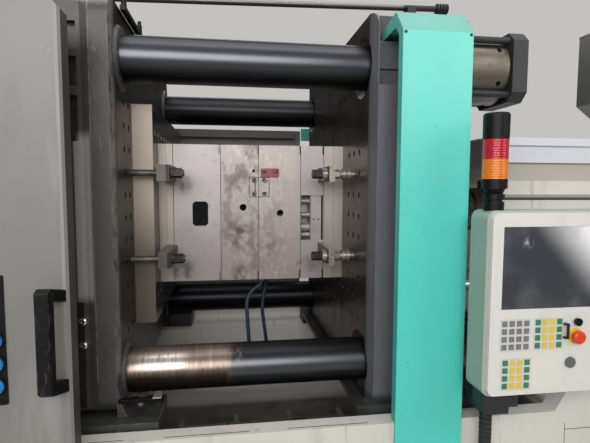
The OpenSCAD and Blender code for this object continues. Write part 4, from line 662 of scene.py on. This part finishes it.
# Free hoses, along the same points as the CAD tubes, in millimetres
HOSE_D = 0.016
HOSE_LEFT = [
    (-330, -150, 1115), (-330, -150, 1104), (-338, -152, 1088), (-362, -160, 1072), (-386, -170, 1048),
    (-397, -178, 1010), (-395, -184, 950), (-391, -186, 890), (-388, -180, 830), (-386, -160, 780),
    (-385, -120, 735), (-385, -60, 700), (-385, 10, 672), (-385, 90, 648), (-385, 180, 622),
    (-385, 270, 600), (-385, 360, 582), (-385, 450, 570), (-385, 530, 565), (-385, 570, 565),
    (-385, 588, 565),
]
HOSE_RIGHT = [
    (-300, -60, 1115), (-300, -60, 1102), (-305, -62, 1080), (-314, -64, 1040), (-320, -66, 1000),
    (-323, -66, 955), (-318, -64, 900), (-311, -60, 850), (-305, -52, 805), (-301, -36, 765),
    (-298, -5, 728), (-296, 50, 695), (-296, 130, 662), (-296, 220, 632), (-296, 310, 606),
    (-296, 400, 586), (-296, 480, 572), (-296, 540, 565), (-296, 572, 565), (-296, 588, 565),
]


def rounded_path(points, steps=5):
    """A smooth line in metres through points in millimetres, each one kept."""
    knots = [Vector(point) / 1000 for point in points]
    last = len(knots) - 1
    line = []
    for i in range(last):
        before, start, end, after = knots[max(i - 1, 0)], knots[i], knots[i + 1], knots[min(i + 2, last)]
        for k in range(steps):
            t = k / steps
            bend = 2 * before - 5 * start + 4 * end - after
            twist = 3 * start - before - 3 * end + after
            line.append(0.5 * (2 * start + (end - before) * t + bend * t * t + twist * t ** 3))
    return line + [knots[-1]]


def hose(name, points, node):
    path = rounded_path(points)
    data = bpy.data.curves.new(name, "CURVE")
    data.dimensions = "3D"
    data.bevel_depth = HOSE_D / 2
    data.bevel_resolution = 5
    spline = data.splines.new("POLY")
    spline.points.add(len(path) - 1)
    for point, place in zip(spline.points, path):
        point.co = (*place, 1.0)
    obj = bpy.data.objects.new(name, data)
    bpy.context.scene.collection.objects.link(obj)
    dress(obj, FINISHES["blue_hose"])
    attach(obj, "root")
    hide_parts(node)


# Pieces built from outlines and turned profiles, all in the machine's own frame
def frame_of(axis):
    """Two directions across the axis, and the axis itself."""
    along = Vector({"X": (1, 0, 0), "Y": (0, 1, 0), "Z": (0, 0, 1)}[axis])
    side = Vector((0, 0, 1)) if axis == "Y" else Vector((0, 1, 0))
    return side.cross(along), side, along


def turned(bm, at, axis, profile, sides=32):
    """A profile of (distance along the axis, radius) points turned round the axis through at."""
    first, second, along = frame_of(axis)
    rings = []
    for reach, radius in profile:
        ring = []
        for k in range(sides):
            turn = 2 * math.pi * k / sides
            outwards = first * math.cos(turn) + second * math.sin(turn)
            ring.append(bm.verts.new(Vector(at) + along * reach + outwards * radius))
        rings.append(ring)
    for low, high in zip(rings, rings[1:]):
        for k in range(sides):
            following = (k + 1) % sides
            bm.faces.new((low[k], low[following], high[following], high[k]))
    bm.faces.new(rings[0])
    bm.faces.new(list(reversed(rings[-1])))


def plate(bm, axis, low, high, outline):
    """An outline across the axis, in the two other coordinates, made solid from low to high."""
    slot = "XYZ".index(axis)
    ends = []
    for level in (low, high):
        ends.append([bm.verts.new(point[:slot] + (level,) + point[slot:]) for point in outline])
    count = len(outline)
    for k in range(count):
        following = (k + 1) % count
        bm.faces.new((ends[0][k], ends[0][following], ends[1][following], ends[1][k]))
    bm.faces.new(ends[0])
    bm.faces.new(list(reversed(ends[1])))


def square_corners(x0, x1, z0, z1):
    return [(x0, z0), (x1, z0), (x1, z1), (x0, z1)]


def cut_corners(x0, x1, z0, z1, cut):
    return [
        (x0 + cut, z0), (x1 - cut, z0), (x1, z0 + cut), (x1, z1 - cut),
        (x1 - cut, z1), (x0 + cut, z1), (x0, z1 - cut), (x0, z0 + cut),
    ]


def round_corners(x0, x1, z0, z1, radius, steps=4):
    corners = (
        (x1 - radius, z1 - radius, 0),
        (x0 + radius, z1 - radius, 90),
        (x0 + radius, z0 + radius, 180),
        (x1 - radius, z0 + radius, 270),
    )
    points = []
    for centre_x, centre_z, start in corners:
        for k in range(steps + 1):
            turn = math.radians(start + 90 * k / steps)
            points.append((centre_x + radius * math.cos(turn), centre_z + radius * math.sin(turn)))
    return points


SCREW_ROOT = 0.006  # how far a screw's head reaches into what it stands on


def socket_screw(bm, at, sign, radius, height):
    """Head of a socket screw on a face across Y, with the hexagon's hole inside it."""
    turned(bm, at, "Y", [
        (-sign * SCREW_ROOT, radius * 0.9),
        (sign * height * 0.75, radius),
        (sign * height, radius * 0.86),
        (sign * height, radius * 0.50),
        (sign * height * 0.2, radius * 0.46),
    ], 24)


def make(name, build, finish, body, bevel=0.0):
    """Makes one piece from a function that fills a bmesh, dresses it and seats it on its body."""
    bm = bmesh.new()
    build(bm)
    bmesh.ops.recalc_face_normals(bm, faces=bm.faces[:])
    mesh = bpy.data.meshes.new(name)
    bm.to_mesh(mesh)
    bm.free()
    obj = bpy.data.objects.new(name, mesh)
    bpy.context.scene.collection.objects.link(obj)
    if bevel:
        edge = obj.modifiers.new("bevel", "BEVEL")
        edge.width = bevel
        edge.segments = 2
        edge.limit_method = "ANGLE"
    dress(obj, finish)
    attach(obj, body)
    return obj


# Hoses with the crimped fittings that hold them on their tails
FITTING_TOP = 1.116
FITTING_PROFILE = [(0, 0.0125), (-0.006, 0.0125), (-0.007, 0.0105), (-0.012, 0.0105), (-0.0125, 0.0085)]


def hose_fitting(name, points):
    x, y = points[0][0] / 1000, points[0][1] / 1000

    def build(bm):
        turned(bm, (x, y, FITTING_TOP), "Z", FITTING_PROFILE)

    return make(name, build, FINISHES["band_steel"], "root")


for side, points in (("left", HOSE_LEFT), ("right", HOSE_RIGHT)):
    fitting = hose_fitting("hose_fitting_" + side, points)
    hose("hose_" + side, points, "water_hose_" + side)


# Gate handle: black bridge of flat bar beside the gate's closing edge
GATE_FACE = -0.8425
GRIP_FRONT = -0.918
GRIP_SHOULDER = GRIP_FRONT + 0.012
GRIP_BACK = GRIP_FRONT + 0.024
GRIP_ENDS = (0.981, 1.255)
GRIP_CORNERS = (0.991, 1.246)
GRIP_INSIDE = (1.014, 1.220)
LOWER_FOOT = (0.965, 1.000)
UPPER_FOOT = (1.206, 1.238)
GRIP_SIDES = (-0.9370, -0.9030)
FEET_SHIFT = (0.012, 0.017)


def handle(bm):
    """An outline in Y and Z, whose feet then shift to the right of the grip."""
    plate(bm, "X", -1, 1, [
        (GATE_FACE, UPPER_FOOT[1]), (GRIP_SHOULDER, GRIP_ENDS[1]), (GRIP_FRONT, GRIP_CORNERS[1]),
        (GRIP_FRONT, GRIP_CORNERS[0]), (GRIP_SHOULDER, GRIP_ENDS[0]), (GATE_FACE, LOWER_FOOT[0]),
        (GATE_FACE, LOWER_FOOT[1]), (GRIP_BACK, GRIP_INSIDE[0]),
        (GRIP_BACK, GRIP_INSIDE[1]), (GATE_FACE, UPPER_FOOT[0]),
    ])
    for vert in bm.verts:
        side = 0 if vert.co.x < 0 else 1
        near_face = (vert.co.y - GRIP_FRONT) / (GATE_FACE - GRIP_FRONT)
        vert.co.x = GRIP_SIDES[side] + FEET_SHIFT[side] * near_face


bridge = make("gate_handle_bridge", handle, FINISHES["black_plastic"], "gate", 0.003)
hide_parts("gate_handle")


# Mould details
MOULD_FRONT = -0.238
NAMEPLATE = (-0.612, -0.551, 1.350, 1.447)
NAMEPLATE_CUT = 0.009
RIVET_X = (-0.607, -0.556)
RIVET_Z = (1.362, 1.435)
RIVET_PROFILE = [(0, 0.0025), (-0.0016, 0.0022), (-0.0022, 0.001)]
KEY_SCREWS = [(-0.367, 1.533), (-0.367, 1.478)]
SOCKET_SCREWS = [(-0.327, 1.533), (-0.327, 1.478)]
STRAP_SCREWS = [(-0.326, 1.571), (-0.281, 1.570)]
MOULD_SCREW_HEIGHT = 0.0035


def nameplate(bm):
    plate(bm, "Y", MOULD_FRONT - 0.0014, MOULD_FRONT + 0.001, cut_corners(*NAMEPLATE, NAMEPLATE_CUT))
    for x in RIVET_X:
        for z in RIVET_Z:
            turned(bm, (x, MOULD_FRONT - 0.001, z), "Y", RIVET_PROFILE, 16)


make("nameplate", nameplate, PLATE_FINISH, "clamp", 0.0004)


def screws_on(node, radius, places):
    """Socket screws standing on the front of a CAD node."""
    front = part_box(node)[0].y

    def build(bm):
        for x, z in places:
            socket_screw(bm, (x, front, z), -1, radius, MOULD_SCREW_HEIGHT)

    return build


for name, body, build in (
    ("interlock_key_screws", "clamp", screws_on("interlock_key", 0.0088, KEY_SCREWS)),
    ("interlock_socket_screws", "root", screws_on("interlock_socket", 0.0088, SOCKET_SCREWS)),
    ("strap_screws", "root", screws_on("mould_strap", 0.0075, STRAP_SCREWS)),
):
    make(name, build, SCREW_FINISH, body)


# Moving platen details
BALL_BOLT_X = -0.913
BALL_BOLT_Y = -0.630
BALL_BOLT_Z = (1.092, 1.017)
BALL_BOLT_PROFILE = [
    (0.060, 0.008), (0.012, 0.008), (0.010, 0.0105), (0.004, 0.0135), (-0.004, 0.0138),
    (-0.010, 0.0115), (-0.013, 0.0075), (-0.0135, 0.0035), (-0.011, 0.003),
]
GREASE_AT = (-0.747, -0.600, 0.824)
GREASE_HEXAGON = [(0, 0.016), (-0.022, 0.016)]
NIPPLE_Y = -0.621
NIPPLE_PROFILE = [
    (0, 0.011), (-0.010, 0.011), (-0.012, 0.0075), (-0.018, 0.0075),
    (-0.021, 0.0105), (-0.026, 0.0095), (-0.029, 0.005),
]
TRIP_BLOCK = (-0.713, -0.681, 0.824, 0.846)
TRIP_ARM = (-0.814, -0.712, 0.829, 0.841)
TRIP_PLATE = (-0.708, -0.680, 0.8465, 0.8500)
WIRING_STRIP = (-0.812, -0.794, 2.076, 2.092)
POST_X = -0.803
POST_Y = (-0.48, -0.22, 0.04, 0.30, 0.48)
POST_PROFILE = [(0, 0.009), (0.030, 0.009), (0.033, 0.007), (0.045, 0.007), (0.047, 0.005)]


def ball_head_bolts(bm):
    for z in BALL_BOLT_Z:
        turned(bm, (BALL_BOLT_X, BALL_BOLT_Y, z), "Y", BALL_BOLT_PROFILE)


def grease_fitting(bm):
    turned(bm, GREASE_AT, "Y", GREASE_HEXAGON, 6)
    turned(bm, (GREASE_AT[0], NIPPLE_Y, GREASE_AT[2]), "Y", NIPPLE_PROFILE, 28)


def trip_block(bm):
    """Block on the arm that carries it from the platen's shoe."""
    plate(bm, "Y", -0.662, -0.618, cut_corners(*TRIP_BLOCK, 0.003))
    plate(bm, "Y", -0.650, -0.634, square_corners(*TRIP_ARM))


def trip_plate(bm):
    plate(bm, "Y", -0.664, -0.616, cut_corners(*TRIP_PLATE, 0.0012))


def wiring_strip(bm):
    """Black strip with posts on top of the moving platen, along its mould face."""
    plate(bm, "Y", -0.50, 0.50, square_corners(*WIRING_STRIP))
    for y in POST_Y:
        turned(bm, (POST_X, y, 2.090), "Z", POST_PROFILE, 20)


make("ball_head_bolts", ball_head_bolts, FINISHES["hard_chrome"], "clamp")
make("grease_fitting", grease_fitting, FINISHES["nut_steel"], "clamp")
make("trip_block", trip_block, PLATE_FINISH, "clamp", 0.001)
make("trip_plate", trip_plate, FINISHES["rail_aluminium"], "clamp", 0.0005)
make("wiring_strip", wiring_strip, FINISHES["black_plastic"], "clamp", 0.0008)


# Screws of the platen covers
COVER_FACE = 0.769
COVER_SCREW_X = (0.051, 0.256)
COVER_SCREW_Z = (1.962, 0.60)


def cover_screws(bm):
    for z in COVER_SCREW_Z:
        for x in COVER_SCREW_X:
            for side in (-1, 1):
                socket_screw(bm, (x, side * COVER_FACE, z), side, 0.0045, 0.002)


make("cover_screws", cover_screws, FINISHES["black_steel"], "root")


# Quarter-turn latches on both sides of some seams between the bed's panels
LATCH_SEAMS = (-3.90, -2.70, 1.80, 2.96)
LATCH_SHIFT = 0.06
LATCH_Z = 0.60
LATCH_PROFILE = ((0, 0.017), (0.0035, 0.017), (0.0045, 0.0155), (0.0045, 0.012), (0.002, 0.0105))
LATCH_SLOT_HALF = 0.002
LATCH_SLOT_Z = (0.591, 0.609)


def bed_latch(bm, x, side):
    outwards = [(side * reach, radius) for reach, radius in LATCH_PROFILE]
    turned(bm, (x, side * 0.759, LATCH_Z), "Y", outwards, 28)
    slot = square_corners(x - LATCH_SLOT_HALF, x + LATCH_SLOT_HALF, *LATCH_SLOT_Z)
    plate(bm, "Y", side * 0.764 - 0.0025, side * 0.764 + 0.0005, slot)


def bed_latches(bm):
    for seam in LATCH_SEAMS:
        for shift in (-LATCH_SHIFT, LATCH_SHIFT):
            for side in (-1, 1):
                bed_latch(bm, seam + shift, side)


make("bed_latches", bed_latches, FINISHES["rail_aluminium"], "root")


# Operator panel
PANEL_FRONT = -0.917
KEY_PITCH = 0.0226
KEY_HALF = 0.0082
KEY_MARGIN = 0.0135
KEY_RISE = 0.0015
KEY_BLOCKS = (
    (0.303, 1.121, ("grey", "grey", "grey", "grey")),
    (0.4065, 1.122, ("green", "yellow", "yellow", "green")),
    (0.309, 1.007, ("green", "yellow", "yellow", "green")),
)
BLANK_FIELD = (0.397, 0.489, 0.922, 1.024)
STOP_AT = (0.526, 1.078)
STOP_RING_PROFILE = [(0, 0.0235), (-0.002, 0.0235), (-0.003, 0.0225), (-0.0032, 0.0115)]


def key_sheets(bm):
    for x, z, _ in KEY_BLOCKS:
        right = x + 3 * KEY_PITCH + KEY_MARGIN
        bottom = z - 3 * KEY_PITCH - KEY_MARGIN
        outline = round_corners(x - KEY_MARGIN, right, bottom, z + KEY_MARGIN, 0.003)
        plate(bm, "Y", PANEL_FRONT - 0.0006, PANEL_FRONT + 0.0006, outline)


def blank_field(bm):
    plate(bm, "Y", PANEL_FRONT - 0.0005, PANEL_FRONT + 0.0006, round_corners(*BLANK_FIELD, 0.003))


def key(bm, x, z):
    outline = round_corners(x - KEY_HALF, x + KEY_HALF, z - KEY_HALF, z + KEY_HALF, 0.0018, 3)
    plate(bm, "Y", PANEL_FRONT - KEY_RISE, PANEL_FRONT, outline)


def keys_of(colour):
    """The keys of one colour, out of blocks whose columns each have a colour."""
    def build(bm):
        for x, z, columns in KEY_BLOCKS:
            for i, tint in enumerate(columns):
                for j in range(4):
                    if tint == colour:
                        key(bm, x + i * KEY_PITCH, z - j * KEY_PITCH)

    return build


sheets = make("key_sheets", key_sheets, KEY_FINISHES["sheet"], "root")
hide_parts("panel_keypads")
make("blank_field", blank_field, KEY_FINISHES["field"], "root")
for colour in ("grey", "green", "yellow"):
    make("keys_" + colour, keys_of(colour), KEY_FINISHES[colour], "root", 0.0003)


def stop_ring(bm):
    turned(bm, (STOP_AT[0], PANEL_FRONT + 0.0005, STOP_AT[1]), "Y", STOP_RING_PROFILE, 48)


make("stop_ring", stop_ring, RING_FINISH, "root")


# Stage and light
def backdrop_paint(name, seen, bounce):
    """Pale where the camera sees it, darker in what it reflects on to the machine."""
    material = bpy.data.materials.new(name)
    material.use_nodes = True
    tree = material.node_tree
    tree.nodes.clear()
    rays = tree.nodes.new("ShaderNodeLightPath")
    pale = tree.nodes.new("ShaderNodeEmission")
    pale.inputs["Color"].default_value = linear(seen)
    dull = tree.nodes.new("ShaderNodeBsdfDiffuse")
    dull.inputs["Color"].default_value = linear(bounce)
    mix = tree.nodes.new("ShaderNodeMixShader")
    out = tree.nodes.new("ShaderNodeOutputMaterial")
    tree.links.new(rays.outputs["Is Camera Ray"], mix.inputs[0])
    tree.links.new(dull.outputs[0], mix.inputs[1])
    tree.links.new(pale.outputs[0], mix.inputs[2])
    tree.links.new(mix.outputs[0], out.inputs["Surface"])
    return material


def make_stage():
    bpy.ops.mesh.primitive_plane_add(size=1, location=(0, 0, 0))
    floor = bpy.context.object
    floor.name = "floor"
    floor.scale = (60, 60, 1)
    pale = Finish("floor_paint", "#b4b2ac", 0.8)
    pale.layer(pale.noise(0.8, 0.3, 0.7), "#a8a6a0", amount=0.5)
    seen = pale.add("ShaderNodeLightPath").outputs["Is Camera Ray"]
    pale.shader.inputs["Emission Color"].default_value = linear("#b4b2ac")
    pale.feed(pale.shader.inputs["Emission Strength"], pale.maths("MULTIPLY", seen, 0.4))
    dress(floor, pale)
    bpy.ops.mesh.primitive_plane_add(size=1, location=(0, 9, 5), rotation=(math.radians(90), 0, 0))
    wall = bpy.context.object
    wall.name = "backdrop"
    wall.scale = (60, 30, 1)
    wall.data.materials.append(backdrop_paint("backdrop_paint", "#c3c2bf", "#6f6e6b"))


def area_light(name, at, target, size, power):
    data = bpy.data.lights.new(name, "AREA")
    data.shape = "RECTANGLE"
    data.size, data.size_y = size
    data.energy = power
    light = bpy.data.objects.new(name, data)
    aim = (Vector(target) - Vector(at)).to_track_quat("-Z", "Y")
    light.matrix_world = Matrix.Translation(at) @ aim.to_matrix().to_4x4()
    bpy.context.scene.collection.objects.link(light)


def make_world():
    world = bpy.data.worlds.new("world")
    bpy.context.scene.world = world
    world.use_nodes = True
    world.node_tree.nodes["Background"].inputs["Color"].default_value = (0.9, 0.95, 1.0, 1.0)
    world.node_tree.nodes["Background"].inputs["Strength"].default_value = 0.30


make_stage()
make_world()
area_light("top", (-0.3, -0.6, 4.6), (-0.3, 0.2, 1.2), (5.0, 2.2), 84)
area_light("front", (-1.5, -4.8, 2.9), (-0.2, 0.0, 1.3), (4.5, 2.2), 196)
area_light("rear", (0.6, 4.2, 5.4), (0.4, 0.4, 0.9), (7.0, 2.0), 70)
area_light("side", (3.2, -3.2, 3.2), (0.2, 0.0, 1.4), (2.0, 2.0), 50)

scene = bpy.context.scene
scene.view_settings.view_transform = "Standard"
